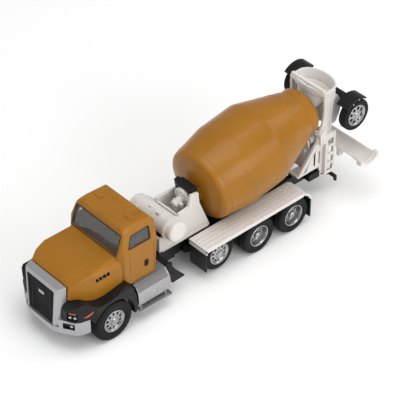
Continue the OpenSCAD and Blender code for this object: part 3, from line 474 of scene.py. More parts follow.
for key, names in FINISH.items():
    for n in names:
        o = NODES[n]
        o.data.materials.clear()
        o.data.materials.append(MAT[key])
        for p in o.data.polygons:
            p.use_smooth = True
        if n != "glazing":
            shade_edges(o, BEVELS.get(n, 0.12))


# ---------- cab, hood and nose, with the soft corners of a die-cast body ----------
def cab_body(t):
    side = [(CAB_REAR + 1.3 + t, CAB_Z + t), (CAB_REAR + t, 45), (CAB_REAR + t, 55 - t),
            (CAB_REAR + 1.2 + t, 56.4 - t), (60, ROOF_Z - t),
            (64.6 - t * 0.5, ROOF_Z - 0.4 - t), (65.6 - t, 55.6 - t * 0.6),
            (69.8 - t, 43 - t * 0.2), (70 - t, 42.8), (70 - t, 31.5), (63.8 - t * 0.6, CAB_Z + t)]
    half = [(-CAB_W + t, CAB_Z - 1), (-CAB_W + t, 44), (-18.2 + t, 55 - t), (-17 + t, 56.6 - t),
            (-15.5, 58)]
    front = half + [(-y, z) for y, z in reversed(half)]
    half_plan = [(CAB_REAR - 1, -CAB_W + t), (66.6, -CAB_W + t), (69 - t, -18.9 + t),
                 (71 - t, -17.5 + t)]
    plan = half_plan + [(x, -y) for x, y in reversed(half_plan)]
    return meet(prism(side, "y", -24, 24), prism(front, "x", 40, 76), prism(plan, "z", 20, 60))


def hood_body(t):
    side = [(68.9, 24), (68.9, 43 - t), (84, 41.9 - t), (92, 40.1 - t), (96.2, 38 - t),
            (97.4 - t, 36.8 - t), (98.2 - t, 24)]
    half = [(68.9, -19.8 + t), (84, -18.7 + t), (92, -17 + t), (97.4 - t, -14.6 + t),
            (99 - t, -12.2 + t)]
    plan = half + [(x, -y) for x, y in reversed(half)]
    lean = [(-21, 20), (-19.9 + t, 37.6), (-18.3 + t, 41.3 - t), (-15, 43.4 - t)]
    front = lean + [(-y, z) for y, z in reversed(lean)]
    return meet(prism(side, "y", -24, 24), prism(plan, "z", 20, 46), prism(front, "x", 66, 102))


NOSE_SIDE = [(104.2, 14.9), (103.1, 35.6), (102.2, 38), (97.9, 38.2), (98.3, 36.9), (98.7, 24),
             (99.4, 14.9)]
NOSE_HALF = [(98.3, -13.9), (102.4, -12.2), (104.4, -9.8)]
NOSE_PLAN = NOSE_HALF + [(x, -y) for x, y in reversed(NOSE_HALF)] + [(96, 12), (96, -12)]
MOUTH = [(-9.1, 14), (-10.5, 36), (10.5, 36), (9.1, 14)]
WINDSCREEN = [(-17, 43.3), (-16.8, 54.2), (16.8, 54.2), (17, 43.3)]
DOOR_WINDOW = [(50.2, 45.9), (50.2, 53), (61.6, 52.6), (64.2, 45.9)]
REAR_WINDOW = [(-9, 46), (-9, 53), (9, 53), (9, 46)]


def nose_body():
    return meet(prism(NOSE_SIDE, "y", -15, 15), prism(NOSE_PLAN, "z", 12, 40))


def plump(body, r, steps=8):
    """A convex body with every edge and corner rounded to radius r."""
    core = body(r)
    bm = bmesh.new()
    for v in core.data.vertices:
        for i in range(steps + 1):
            tilt = math.pi * i / steps
            for k in range(2 * steps):
                turn = math.pi * k / steps
                bm.verts.new(v.co + Vector((math.sin(tilt) * math.cos(turn),
                                            math.sin(tilt) * math.sin(turn),
                                            math.cos(tilt))) * r * MM)
    bpy.data.objects.remove(core)
    bmesh.ops.remove_doubles(bm, verts=bm.verts, dist=1e-6)
    found = bmesh.ops.convex_hull(bm, input=bm.verts)
    loose = [g for g in found["geom_interior"] + found["geom_unused"]
             if isinstance(g, bmesh.types.BMVert)]
    bmesh.ops.delete(bm, geom=list(set(loose)), context="VERTS")
    return to_object(bm)


def make_cab():
    cab = plump(cab_body, 1.1)
    combine(cab, cab_body(WALL))
    combine(cab, prism(rounded(WINDSCREEN, 0.9), "x", 63, 72))
    combine(cab, prism(rounded(DOOR_WINDOW, 0.7), "y", -24, 24))
    combine(cab, prism(rounded(REAR_WINDOW, 0.7), "x", CAB_REAR - 1, CAB_REAR + 3))
    for s in (-1, 1):
        lo, hi = sorted((s * (CAB_W - 0.25), s * (CAB_W + 1)))
        for a, b in (((48.4, 25), (48.7, 44)), ((63.6, 31), (63.9, 44)), ((48.4, 25), (62, 25.3))):
            combine(cab, block((a[0], lo, a[1]), (b[0], hi, b[1])))
    pads = []
    rib = [(49, 56.3), (49.6, 56.85), (59, 57.4), (61, 57.08), (60.4, 56.6)]
    for y in (-4.2, 0, 4.2):
        pads.append(prism(rib, "y", y - 0.45, y + 0.45))
    for y in (-11.3, 11.3):
        pads.append(prism([(54.2, 56.4), (54.5, 57.5), (57, 57.7), (57.6, 57.3), (57.6, 56.6)],
                          "y", y - 2.1, y + 2.1))
        for k in (-1.6, 0, 1.6):
            pads.append(prism([(47.8, 56), (48.2, 56.75), (54.6, 57.15), (54.8, 56.4)], "y",
                              y + k - 0.32, y + k + 0.32))
    lamp = [(62.6, 56.4), (62.8, 57.35), (63.2, 57.55), (64.7, 57.25), (65.4, 56.6), (65.2, 55.8)]
    for y in (-14.4, 0, 14.4):
        pads.append(prism(lamp, "y", y - 0.85, y + 0.85))
    piece(join([cab] + [soften(p, 0.16, 2) for p in pads]), "cab_body", "ochre", "truck",
          "cab_shell", edge=0.07)
    # dark rubber seals round the panes
    seals = []
    for s in (-1, 1):
        ring = rounded(DOOR_WINDOW, 0.7)
        seals.append(tube([(x, s * (18.2 + (55 - z) * 0.182 - 0.15), z) for x, z in ring], 0.26,
                          True))
    ring = rounded(WINDSCREEN, 0.9)
    seals.append(tube([(65.75 + (55.6 - z) * 0.333, y, z) for y, z in ring], 0.26, True))
    piece(join(seals), "window_seals", "trim", "truck", edge=0)


def make_handles():
    """Recessed door latches."""
    for s, side in ((1, "left"), (-1, "right")):
        y0, y1 = sorted((s * 20.1, s * 20.5))
        pan = prism(rounded([(52.3, 30.6), (52.3, 34.4), (54.7, 34.4), (54.7, 30.6)], 0.6), "y",
                    y0, y1)
        y0, y1 = sorted((s * 20.4, s * 20.85))
        grip = prism(rounded([(53.0, 31.3), (53.0, 33.8), (53.9, 33.8), (53.9, 31.3)], 0.3), "y",
                     y0, y1)
        piece(join([pan, soften(grip, 0.12, 2)]), f"door_latch_{side}", "black", "truck",
              *(["door_handles"] if s > 0 else []), edge=0.06)


def make_hood():
    hood = plump(hood_body, 0.9)
    combine(hood, hood_body(WALL))
    combine(hood, block((69, -17, 23), (96.5, 17, 24.9)))
    combine(hood, block((94, -9, 20), (100, 9, 33)))
    for s in (-1, 1):
        slot = block((-4.1, -1.7, -1.15), (4.1, 0.6, 1.15))
        seat_vent(slot, s)
        combine(hood, slot)
    # moulded line that follows each side of the hood top
    lines = [tube([(71.5, s * 15.0, 42.75), (84, s * 14.4, 41.83), (92, s * 12.9, 40.0),
                   (95.4, s * 11.6, 38.3)], 0.28) for s in (-1, 1)]
    piece(join([hood] + lines), "hood_body", "ochre", "truck", "hood", edge=0.06)


def seat_vent(obj, s):
    """Moves a shape made at the origin to the vent in the hood's side."""
    origin = at(0, 0, 0)
    place = at(79.8, s * 19.0, 37.5)
    turn = (Matrix.Rotation(math.radians(-4.2 * s), 4, "Z")
            @ Matrix.Rotation(math.radians(5), 4, "Y"))
    flip = Matrix.Scale(s, 4, (0, 1, 0))
    obj.data.transform(Matrix.Translation(place) @ turn @ flip @ Matrix.Translation(-origin))
    if s < 0:
        obj.data.flip_normals()
    return obj


def make_vents():
    for s, side in ((1, "left"), (-1, "right")):
        parts = [block((-4.1, -1.1, -1.15), (4.1, -0.75, 1.15))]
        for k in range(6):
            x = -3.4 + k * 1.36
            parts.append(prism([(x - 0.45, -1.0), (x - 0.2, -1.0), (x + 0.45, 1.0), (x + 0.2, 1.0)],
                               "y", -0.8, -0.12))
        for z in (-1.12, 0.92):
            parts.append(block((-4.1, -0.8, z), (4.1, -0.1, z + 0.2)))
        vent = seat_vent(join(parts), s)
        slats = [prism([(x - 0.5, -1.15), (x - 0.1, -1.15), (x + 0.5, 1.15), (x + 0.1, 1.15)],
                       "y", -0.5, 0.02) for x in (-2.1, 0.2, 2.3)]
        slats = seat_vent(join(slats), s)
        piece(slats, f"hood_vent_slats_{side}", "ochre", "truck", edge=0.04)
        piece(vent, f"hood_vent_{side}", "black", "truck", *(["hood_vents"] if s > 0 else []),
              edge=0.04)


def make_nose():
    nose = soften(nose_body(), 0.75)
    combine(nose, prism(rounded(MOUTH, 0.8), "x", 96, 106))
    combine(nose, hood_body(0))
    piece(nose, "grille_frame", "silver", "truck", "grille_surround", edge=0.1)
    # woven wire screen with its two stays, cut to the opening
    low, high = SCREEN_LOW, SCREEN_HIGH
    wires = []
    for k in range(33):
        y = -10.4 + k * 0.65
        bottom = max(low, 14 + (abs(y) - 9.1) * 22 / 1.4)
        if bottom < high - 1:
            x0, x1 = (SCREEN_X - (z - low) * SCREEN_RAKE for z in (bottom, high))
            wires.append(prism([(x0 - 0.25, bottom), (x0, bottom), (x1, high),
                                (x1 - 0.25, high)], "y", y - 0.08, y + 0.08))
    for k in range(29):
        z = 15.2 + k * 0.73
        x, y = SCREEN_X - 0.02 - (z - low) * SCREEN_RAKE, 9.1 + (z - 14) * 1.4 / 22
        wires.append(block((x - 0.16, -y, z - 0.1), (x + 0.14, y, z + 0.1)))
    back = prism([(-9.15, low), (-10.5, high), (10.5, high), (9.15, low)], "x", SCREEN_X - 1.9,
                 SCREEN_X - 1.6)
    for v in back.data.vertices:
        v.co.x -= (v.co.z / MM - low) * SCREEN_RAKE * MM
    stays = [prism([(SCREEN_X - 0.2, low), (SCREEN_X + 0.3, low), (SCREEN_X - 0.8, high),
                    (SCREEN_X - 1.3, high)], "y", y - 0.2, y + 0.2) for y in (-6.8, 6.8)]
    piece(join(wires + stays + [back]), "grille_screen", "trim", "truck", "grille_mesh", edge=0)
    # small plain boss where such trucks carry a badge
    badge = prism(rounded([(-2.0, 28.6), (-2.0, 30.4), (2.0, 30.4), (2.0, 28.6)], 0.5), "x",
                  SCREEN_X - 1.2, SCREEN_X - 0.45)
    piece(badge, "grille_boss", "silver", "truck", edge=0.12)


def make_fenders():
    side = [(64.6, 8.4), (62.95, 11.8), (63.9, 20.5), (66.6, 27.2), (69.2, 28.6), (73.5, 27.4),
            (79.5, 25.9), (86, 25.9), (89.6, 27.4), (93.4, 30), (98.6, 30), (101, 27),
            (101.8, BUMPER_Z), (90.9, BUMPER_Z), (88, 12), (67, 12)]
    plan = [(62, 20.2), (62, 24.6), (88.4, 24.6), (91.8, 23.3), (96.8, 21.9), (99.1, 20.4),
            (103.2, 13.6), (102.3, 12.3), (98.4, 13), (84, 16.6), (70, 18.2)]
    over = [(11, 33), (17.5, 33), (20.2, 31.2), (24.7, 26.9), (24.7, 5), (11, 5)]
    guard = meet(prism(rounded(side, 1.6), "y", 12, 25), prism(plan, "z", 5, 33),
                 prism(over, "x", 60, 105))
    wheel = on_wheel(turned([(0, 8), (12.9, 8), (12.9, 27), (0, 27)], 96, closed=False),
                     78, 0, 11.4)
    combine(guard, wheel)
    soften(guard, 0.7, 3, 24)
    combine(guard, hood_body(0))
    combine(guard, cab_body(0))
    combine(guard, nose_body())
    pocket = block((-0.9, -2.6, -2.6), (3, 2.6, 2.4))
    combine(guard, turned_place(pocket, HEAD_LAMP, LAMP_TURN))
    pair(guard, "fender_guard", "black", ["fender_left"], ["fender_right"], edge=0.06)


make_cab()
make_handles()
make_hood()
make_vents()
make_nose()
make_fenders()


# ---------- lamps ----------
def lens(y, z, r, depth, dome=0.35):
    """A round domed lens facing local +x."""
    angles = [math.radians(k * 18) for k in range(1, 5)]
    pts = [(0, dome)] + [(r * math.sin(a), dome * math.cos(a)) for a in angles]
    pts += [(r, 0), (r, -depth), (0, -depth)]
    return at_front(turned(pts, 40, closed=False), y, z)


def make_lamps():
    pod = block((-0.9, -2.6, -2.6), (-0.45, 2.6, 2.4))
    for y in (-1.25, 1.25):
        ring = turned([(0.8, -0.45), (0.98, 0.0), (1.12, 0.0), (1.3, -0.45)], 40)
        pod = join([pod, at_front(ring, y, -1.0)])
    pod = join([pod, block((-0.5, -2.6, 0.55), (0.15, 2.6, 0.75))])
    glass = join([lens(y, -1.0, 0.8, 0.5, 0.3) for y in (-1.25, 1.25)])
    amber = prism(rounded([(-2.0, 1.15), (-1.8, 1.75), (2.0, 1.95), (1.9, 1.15)], 0.25), "x",
                  -0.5, 0.12)
    for obj, name, finish, nodes in ((pod, "headlamp_pod", "black", ["headlights"]),
                                     (glass, "headlamp_lens", "lamp", []),
                                     (amber, "indicator_lens", "amber", ["marker_lights"])):
        pair(turned_place(obj, HEAD_LAMP, LAMP_TURN), name, finish, nodes, edge=0.05)
    # crescent reflector on the fender's corner, rising to the rear
    moon = [(-2.6, -1.0), (-1.2, -0.75), (0.4, -0.1), (1.9, 0.75), (2.7, 1.35), (2.5, 0.5),
            (1.5, -0.5), (0.2, -1.15), (-1.3, -1.4)]
    curve = prism(rounded([(-x, z) for x, z in moon], 0.25), "y", -0.6, 0.3)
    pair(turned_place(curve, (92.7, 23.0, 23.9), -15.6), "side_reflector", "amber", edge=0.06)
    # fog lamp in its dark pocket
    back = block((-1.05, -3.1, -1.8), (-0.75, 3.1, 1.8))
    rim = prism(rounded([(-3.1, -1.8), (-3.1, 1.8), (3.1, 1.8), (3.1, -1.8)], 0.5), "x",
                -0.8, 0.1)
    mouth = rounded([(-2.75, -1.5), (-2.75, 1.5), (2.75, 1.5), (2.75, -1.5)], 0.7)
    combine(rim, prism(mouth, "x", -2, 2))
    fog = join([back, rim])
    glass = lens(1.3, 0, 0.85, 0.4, 0.3)
    glass.data.transform(Matrix.Translation((-0.3 * MM, 0, 0)))
    for obj, name, finish, nodes in ((fog, "fog_pocket", "black", ["fog_lamps"]),
                                     (glass, "fog_lens", "lamp", [])):
        pair(turned_place(obj, FOG_LAMP, LAMP_TURN), name, finish, nodes, edge=0.05)


make_lamps()


# ---------- wheels ----------
def tyre(r, w, bore):
    """A tyre with ribs on its sidewall, four tread grooves and cut shoulder blocks."""
    wall = [(bore, -0.35), (bore + 0.5, -0.1), (bore + 0.72, -0.26), (bore + 0.95, -0.06),
            (r - 2.0, -0.02), (r - 1.6, -0.02), (r - 1.45, -0.22), (r - 1.2, -0.14),
            (r - 0.62, -0.32), (r - 0.28, -0.55), (r - 0.08, -0.9), (r, -1.25)]
    tread = []
    for f in (0.28, 0.43, 0.57, 0.72):
        z = -w * f
        tread += [(r, z + 0.18), (r - 0.5, z + 0.12), (r - 0.5, z - 0.12), (r, z - 0.18)]
    back = [(a, -w - z) for a, z in reversed(wall)]
    profile = wall + tread + back
    cuts = {len(wall) - 2, len(wall) - 1, len(wall) + len(tread), len(wall) + len(tread) + 1}

    def dent(i, k):
        return 0.3 if i in cuts and k % 4 == 0 else 0.0

    return turned(profile, 144, dent=dent)


def drill(obj, x, y, z, count, ring, r, lo, hi, start):
    """Cuts a ring of round holes through a wheel."""
    tools = []
    for k in range(count):
        a = math.radians(start + k * 360 / count)
        pin = turned([(0, lo), (r, lo), (r, hi), (0, hi)], 20, closed=False)
        pin.transform(Matrix.Translation((ring * math.cos(a), ring * math.sin(a), 0)))
        tools.append(on_wheel(pin, x, y, z))
    return combine(obj, join(tools))


def nuts(x, y, z, count, ring, base, start):
    """Hexagon nuts with a stud end standing in them."""
    out = []
    for k in range(count):
        a = math.radians(start + k * 360 / count)
        for profile, steps in (([(0, 0.34), (0.24, 0.34), (0.3, 0.24), (0.3, -0.2), (0, -0.2)], 6),
                               ([(0, 0.52), (0.09, 0.52), (0.13, 0.45), (0.13, 0), (0, 0)], 12)):
            nut = turned(profile, steps, closed=False)
            nut.transform(Matrix.Translation((ring * math.cos(a), ring * math.sin(a), base)))
            out.append(on_wheel(nut, x, y, z))
    return join(out)


def convex_rim(x, y, z, rr, w, holes=10, hole_r=0.76):
    """A single wheel's rim, whose hub stands proud, and the dark disc behind it, which is painted
    shade seen through the rim's holes.
    """
    disc = [(0, 0.9), (1.15, 0.9), (1.4, 0.8), (1.5, 0.62), (1.85, 0.5), (2.05, -0.1), (3.0, -0.32),
            (rr - 2.9, -0.42), (rr - 1.45, -0.75), (rr - 1.2, -0.85), (rr - 0.95, -0.6),
            (rr - 0.62, 0), (rr - 0.4, 0.05), (rr - 0.1, 0.05), (rr, -0.05), (rr, -w + 0.3),
            (rr - 0.9, -w + 0.3), (rr - 0.9, -1.9), (2.3, -1.9), (2.3, -4.2), (0, -4.2)]
    rim = on_wheel(turned(disc, 96, closed=False), x, y, z)
    drill(rim, x, y, z, holes, rr - 2.1, hole_r, -2.6, 0.4, 18)
    # painted shade: this dark disc sits behind the rim's holes so that they show the shade inside
    # the wheel
    dark = on_wheel(turned([(2.35, -2.0), (rr - 0.95, -2.0), (rr - 0.95, -2.3), (2.35, -2.3)], 64),
                    x, y, z)
    return join([rim, nuts(x, y, z, 10, 2.55, -0.3, 0)]), dark


def dish_rim(x, y, z, rr, w):
    """A deep rim for a pair of tyres, and the dark disc behind it, which is painted shade seen
    through the rim's holes.
    """
    dish = [(0, -0.6), (1.0, -0.6), (1.2, -0.7), (1.6, -0.95), (1.75, -2.5), (2.0, -2.65),
            (3.2, -2.75), (3.55, -3.15), (rr - 1.55, -3.5), (rr - 1.3, -3.2), (rr - 0.95, -1.4),
            (rr - 0.75, -0.6), (rr - 0.5, 0), (rr - 0.1, 0.05), (rr, -0.05), (rr, -w),
            (rr - 0.9, -w), (rr - 0.9, -4.8), (0, -4.8)]
    rim = on_wheel(turned(dish, 96, closed=False), x, y, z)
    drill(rim, x, y, z, 10, rr - 2.15, 0.55, -5.4, -2.3, 18)
    # painted shade: this dark disc sits behind the rim's holes so that they show the shade inside
    # the wheel
    dark = on_wheel(turned([(2.0, -4.85), (rr - 0.95, -4.85), (rr - 0.95, -5.1), (2.0, -5.1)], 64),
                    x, y, z)
    return join([rim, nuts(x, y, z, 10, 2.5, -2.7, 0)]), dark


def rod(x, y, z):
    """An axle rod from -y to y."""
    return on_wheel(turned([(0, -y), (1.25, -y), (1.25, y), (0, y)], 32, closed=False), x, 0, z)


def make_wheels():
    for name, body, x, y, z, r, w, bore, rw in (
            ("front", "front_wheels", 78, 24.6, 11.4, 11.4, 7.2, 6.3, 7),
            ("lift", "lift_wheels", 5.8, 21.3, 10.8, 9.5, 5.6, 6.2, 5.4)):
        rubber = on_wheel(tyre(r, w, bore), x, y, z)
        rim, dark = convex_rim(x, y - 0.2, z, bore, rw)
        far = [mirrored(o) for o in (rubber, rim, dark)]
        piece(join([rubber, far[0]]), f"{name}_tyre_pair", "rubber", body, f"{name}_tyres", edge=0)
        piece(join([rim, far[1], rod(x, y - 1, z)]), f"{name}_rim_pair", "rim", body,
              f"{name}_rims", edge=0.05)
        # the dark discs are painted shade seen through the rim holes
        piece(join([dark, far[2]]), f"{name}_brake_discs", "dark", body, edge=0.05)
    for k, x in ((1, -19.2), (2, -43.9)):
        y, z, body = 24.4, 10.5, f"drive_wheels_{k}"
        rubber = join([on_wheel(tyre(10.5, 5.2, 6.2), x, y - d, z) for d in (0, 6.1)])
        rim, dark = dish_rim(x, y - 0.2, z, 6.2, 10.8)
        far = [mirrored(o) for o in (rubber, rim, dark)]
        piece(join([rubber, far[0]]), f"drive_tyre_set_{k}", "rubber", body, f"drive_tyres_{k}",
              edge=0)
        piece(join([rim, far[1], rod(x, y - 3, z)]), f"drive_rim_set_{k}", "rim", body,
              f"drive_rims_{k}", edge=0.05)
        # the dark discs are painted shade seen through the rim holes
        piece(join([dark, far[2]]), f"drive_brake_discs_{k}", "dark", body, edge=0.05)
    x, y, z = -89.2, 23.2, 52.5
    rubber = on_wheel(tyre(9.1, 5.4, 6.1), x, y, z)
    rim, dark = convex_rim(x, y - 0.2, z, 6.1, 5.2, 8, 1.0)
    far = [mirrored(o) for o in (rubber, rim, dark)]
    for side, (tread, disc, hole_shade) in (("left", (rubber, rim, dark)), ("right", far)):
        body = f"booster_wheel_{side}"
        piece(tread, f"booster_tread_{side}", "rubber", body, f"booster_tyre_{side}", edge=0)
        piece(disc, f"booster_disc_{side}", "rim", body, f"booster_rim_{side}", edge=0.05)
        # the dark disc is painted shade seen through the rim holes
        piece(hole_shade, f"booster_hole_shade_{side}", "dark", body, edge=0.05)


make_wheels()


# ---------- drum ----------
def make_drum():
    """The drum as one turned shell, open at the rear, with two raised seams."""
    outer = [(2.5, -9.4), (2.5, -5.4), (5.6, -5.4), (6.4, -4.7), (13, -3.5), (18.3, -2),
             (19.8, -1.1), (20.4, 0.2), (23.25, 16.6), (23.5, 18.2), (23.5, 39), (23.2, 40.4),
             (14.3, 66), (13.5, 66.4), (13.5, 71.4), (12.7, 71.6), (12.2, 73), (11.5, 73.6)]
    inner = [(10.9, 73.4), (10.9, 72.4), (22.2, 39.3), (22.3, 18.3), (19.2, 1.4), (17.6, -0.6),
             (6, -3.4), (0.01, -3.4), (0.01, -9.4)]
    smooth = rounded(outer + inner, 1.4, 5)
    skin = on_drum(turned(smooth, 160))
    seams = []
    for r, w in ((20.95, 2.9), (16.55, 59.6)):
        seams.append(on_drum(turned([(r - 0.3, w - 0.35), (r, w - 0.2), (r + 0.1, w),
                                     (r - 0.05, w + 0.2), (r - 0.4, w + 0.35)], 160)))
    piece(join([skin] + seams), "drum_skin", "ochre", "drum", "drum_shell", edge=0)


make_drum()


# ---------- decks, steps and gearbox ----------
def make_decks():
    """Fluted white deck with a raised outer rail, on black hangers with a black liner."""
    plate = [(DECK_IN, 19.2), (DECK_IN, 22), (12.6, 22.05)]
    y = 13.0
    while y < 22.5:
        plate += [(y, 22.2), (y + 2.05, 22.2), (y + 2.1, 21.7), (y + 2.55, 21.7)]
        y += 2.6
    plate += [(23.6, 22.0), (23.9, 22.3), (24.8, 22.3), (DECK_OUT, 22.0), (DECK_OUT, 20.35),
              (24.55, 20.3), (24.55, 21.3), (12.4, 21.3), (12.4, 19.2)]
    top = prism(plate, "x", -50, 18.3)
    end = block((17.5, DECK_IN, 19.25), (18.3, DECK_OUT, 21.9))
    tail = prism(rounded([(-49.9, 21.2), (-49.9, 22.2), (-53.2, 20.7), (-55.2, 18.4), (-56, 16.4),
                          (-56, 15.9), (-55.2, 15.9), (-54.0, 18.2), (-52.4, 19.8)], 0.6), "y",
                 DECK_IN, DECK_OUT)
    deck = join([top, end, tail])
    liner = [block((x, 8.7, 17.6), (x + 1.4, 23.6, 21.28)) for x in (-7.2, -32.3)]
    liner.append(block((15.9, 8.7, 17.6), (17.4, 12.3, 20.6)))
    liner.append(block((-49.8, 12.5, 20.9), (17.4, 12.9, 21.28)))
    # arched liner inside the rear end
    liner.append(prism([(-50, 21.15), (-52.3, 19.7), (-53.9, 18.1), (-55.1, 15.9), (-54.5, 15.9),
                        (-53.5, 17.6), (-52.0, 19.1), (-50, 20.5)], "y", 12.5, 24.6))
    pair(deck, "deck_plate", "white", ["deck_left"], ["deck_right"])
    pair(join(liner), "deck_hangers", "black", edge=0.08)


def make_step_tanks():
    """Bulged bright tank with a ribbed dark tread on top and a thin step plate below."""
    barrel = rounded([(12.4, 9.2), (12.4, 23.2), (20.6, 23.2), (22.6, 21.6), (24.3, 18.6),
                      (24.85, 15), (24.3, 11.4), (22.6, 9.2)], 1.2, 4)
    tank = soften(prism(barrel, "x", 41.4, 62.4), 0.7, 3, 40)
    straps = [prism([(y + (0.12 if y > 13 else 0), z) for y, z in barrel], "x", x, x + 0.9)
              for x in (45.2, 57.6)]
    plate = prism(rounded([(40.9, 17.6), (61.6, 17.6), (61.6, 25.2), (40.9, 25.2)], 1.0), "z", 7.4,
                  8.2)
    posts = [block((x, 19.5, 8.1), (x + 1.4, 23, 9.5)) for x in (43, 59.2)]
    arms = [block((x, 8.6, 14), (x + 2, 12.6, 17)) for x in (45, 57)]
    cap = on_wheel(turned([(0, 0.35), (1.3, 0.35), (1.6, 0.15), (1.7, -0.8), (0, -0.8)], 40,
                          closed=False), 52.2, 24.55, 15)
    shoulder = [(16.6, 23.1), (20.7, 23.1), (22.7, 21.5), (23.9, 19.4)]
    tread = [prism([(y, z + 0.22) for y, z in shoulder] + [(23.4, 19.2), (20.4, 22.6),
                                                            (16.6, 22.6)], "x", 42.6, 61.9)]
    for (y0, z0), (y1, z1) in zip(shoulder, shoulder[1:]):
        count = max(2, round(math.hypot(y1 - y0, z1 - z0) / 0.7))
        for k in range(count):
            y, z = y0 + (y1 - y0) * (k + 0.5) / count, z0 + (z1 - z0) * (k + 0.5) / count
            tread.append(tube([(43.0, y, z + 0.3), (61.5, y, z + 0.3)], 0.16))
    pair(join([tank, cap] + straps + arms), "tank_barrel", "rim", ["step_tank_left"],
         ["step_tank_right"], edge=0.08)
    pair(join([plate] + posts), "step_plate", "silver", edge=0.08)
    pair(join(tread), "step_tread", "tread", edge=0.04)


def make_side_panels():
    """Fan shaped splash plates hung from the frame behind the cab."""
    fan = soften(prism([(36.8, 22.6), (36.4, 19.8), (34.6, 16.8), (31.8, 13.4), (28.5, 9.6),
                        (28.5, 8.9), (36.6, 8.6), (38.2, 12.2), (39.0, 16.4), (40.5, 22.6)], "y",
                       18.8, 20.0), 0.25, 2)
    stays = [prism([(35.6, 14.8), (38.0, 14.8), (38.8, 18.0), (36.6, 18.0)], "y", 8.6, 18.9),
             block((37.0, 8.6, 20.4), (40.2, 19.4, 21.6))]
    bolts = [bolt(x, 20.05, z, 0.55) for x, z in ((37.4, 16.5), (38.4, 20.9))]
    pair(join([fan] + stays + bolts), "splash_plate", "black", ["side_panels"], edge=0.1)


# ---------- drum drive ----------
def drum_block(a, b):
    """A box in the drum's own frame: up from the axis, across, along the axis."""
    bm = bmesh.new()
    corners = [bm.verts.new((-x, y, z)) for z in (a[2], b[2])
               for x, y in ((a[0], a[1]), (b[0], a[1]), (b[0], b[1]), (a[0], b[1]))]
    bm.faces.new(corners[:4])
    bm.faces.new(corners[4:])
    for i in range(4):
        j = (i + 1) % 4
        bm.faces.new((corners[i], corners[j], corners[4 + j], corners[4 + i]))
    return on_drum(bm)


def drum_round(profile, steps=64, up=0.0, across=0.0):
    """A profile of (radius, place along the axis), turned about a line beside the axis."""
    bm = turned(profile, steps, closed=False)
    bmesh.ops.translate(bm, verts=bm.verts, vec=(-up, across, 0))
    return on_drum(bm)


def make_drive():
    """Gearbox, motor with its bolted flange, and two hoses in front of the drum."""
    case = [soften(drum_block((-7.9, -5.4, -11.2), (8.2, 6.2, -6.1)), 0.9, 3),
            soften(drum_block((-7.6, -7.4, -10.4), (-1.0, 7.4, -7.2)), 0.4, 2),
            drum_round([(0, -5.75), (5.0, -5.75), (5.2, -6.0), (5.2, -7.0), (0, -7.0)])]
    for up in (-4.2, 5.6):
        for across in (-3.8, 4.6):
            case.append(drum_round([(0, -11.7), (0.6, -11.7), (0.7, -11.5), (0.7, -11.0),
                                    (0, -11.0)], 6, up, across))
    piece(join(case), "gearbox_case", "black", "truck", "drum_gearbox", edge=0.12)
    motor = [drum_round([(0, -13.6), (2.6, -13.6), (3.2, -13.3), (3.4, -12.9), (5.3, -12.8),
                         (5.8, -12.5), (5.8, -11.1), (0, -11.1)]),
             drum_round([(0, -18.8), (1.5, -18.8), (2.1, -18.4), (2.3, -17.8), (2.3, -13.2),
                         (0, -13.2)], 48),
             drum_round([(2.25, -16.9), (2.65, -16.8), (2.65, -16.2), (2.25, -16.1)], 48),
             drum_block((1.2, -0.9, -17.2), (3.6, 0.9, -14.6)),
             drum_block((-1.2, 1.6, -16.8), (0.9, 4.4, -15.2))]
    for k in range(8):
        a = math.radians(22.5 + 45 * k)
        motor.append(drum_round([(0, -13.2), (0.4, -13.2), (0.5, -13.0), (0.5, -12.6), (0, -12.6)],
                                6, 4.5 * math.sin(a), 4.5 * math.cos(a)))
    piece(join(motor), "motor_and_flange", "white", "truck", "drum_motor", edge=0.1)
    hoses = [tube([(15.6, y, 31.2), (17.4, y, 33.6), (17.2, y * 0.7, 35.6), (16.0, y * 0.5, 36.6)],
                  0.32) for y in (-4.4, -3.4)]
    piece(join(hoses), "drive_hoses", "grey", "truck", edge=0)


def make_front_pedestal():
    """Cast pedestal for the tank and the drum drive, with one tall gearbox ear."""
    low = [(1.5, PAD_TOP), (8.6, 38.8), (22.6, 38.6), (23.2, 29.5), (35.4, 29.5), (35.4, PAD_TOP)]
    ear = low[:2] + [(9.2, 45.4), (14.4, 46.4), (15.8, 39.6)] + low[2:]
    parts = [prism(ear, "y", 7.6, 8.9), prism(low, "y", -8.9, -7.6),
             block((34.2, -8, PAD_TOP), (35.4, 8, 29.5)),
             block((21.2, -8, PAD_TOP), (22.4, 8, 36.8)),
             block((6.6, -8, 28.9), (22, 8, 30.1)),
             prism([(1.5, PAD_TOP), (2.9, PAD_TOP), (6.7, 30.1), (5.2, 30.1)], "y", -8, 8),
             prism([(7.2, 30.0), (8.6, 38.6), (9.6, 38.6), (9.2, 30.0)], "y", -7.7, 7.7)]
    shell = parts[0]
    for p in parts[1:]:
        combine(shell, p, "UNION")
    saddle = on_wheel(turned([(0, 24), (5.8, 24), (5.8, 0), (0, 0)], 64, closed=False), 29, -12,
                      34.9)
    combine(shell, saddle)
    shell = soften(shell, 0.2, 2)
    extra = []
    for y in (-8.2, 8.2):
        extra.append(tube([(9.0, y, 38.9), (22.2, y, 38.7)], 0.5))
        lo, hi = sorted((y, y * 1.16))
        extra.append(block((3, lo, PAD_TOP), (34, hi, PAD_TOP + 0.8)))
        for x in (6, 18, 31):
            extra.append(bolt(x, y + math.copysign(0.75, y), 23.8, 0.7, 0.35, 0.4))
    for x in (11.5, 16.5):
        extra.append(block((x, -7.6, 29.9), (x + 0.5, 7.6, 30.7)))
    piece(join([shell] + extra), "front_pedestal_casting", "white", "truck", "front_pedestal",
          edge=0.1)


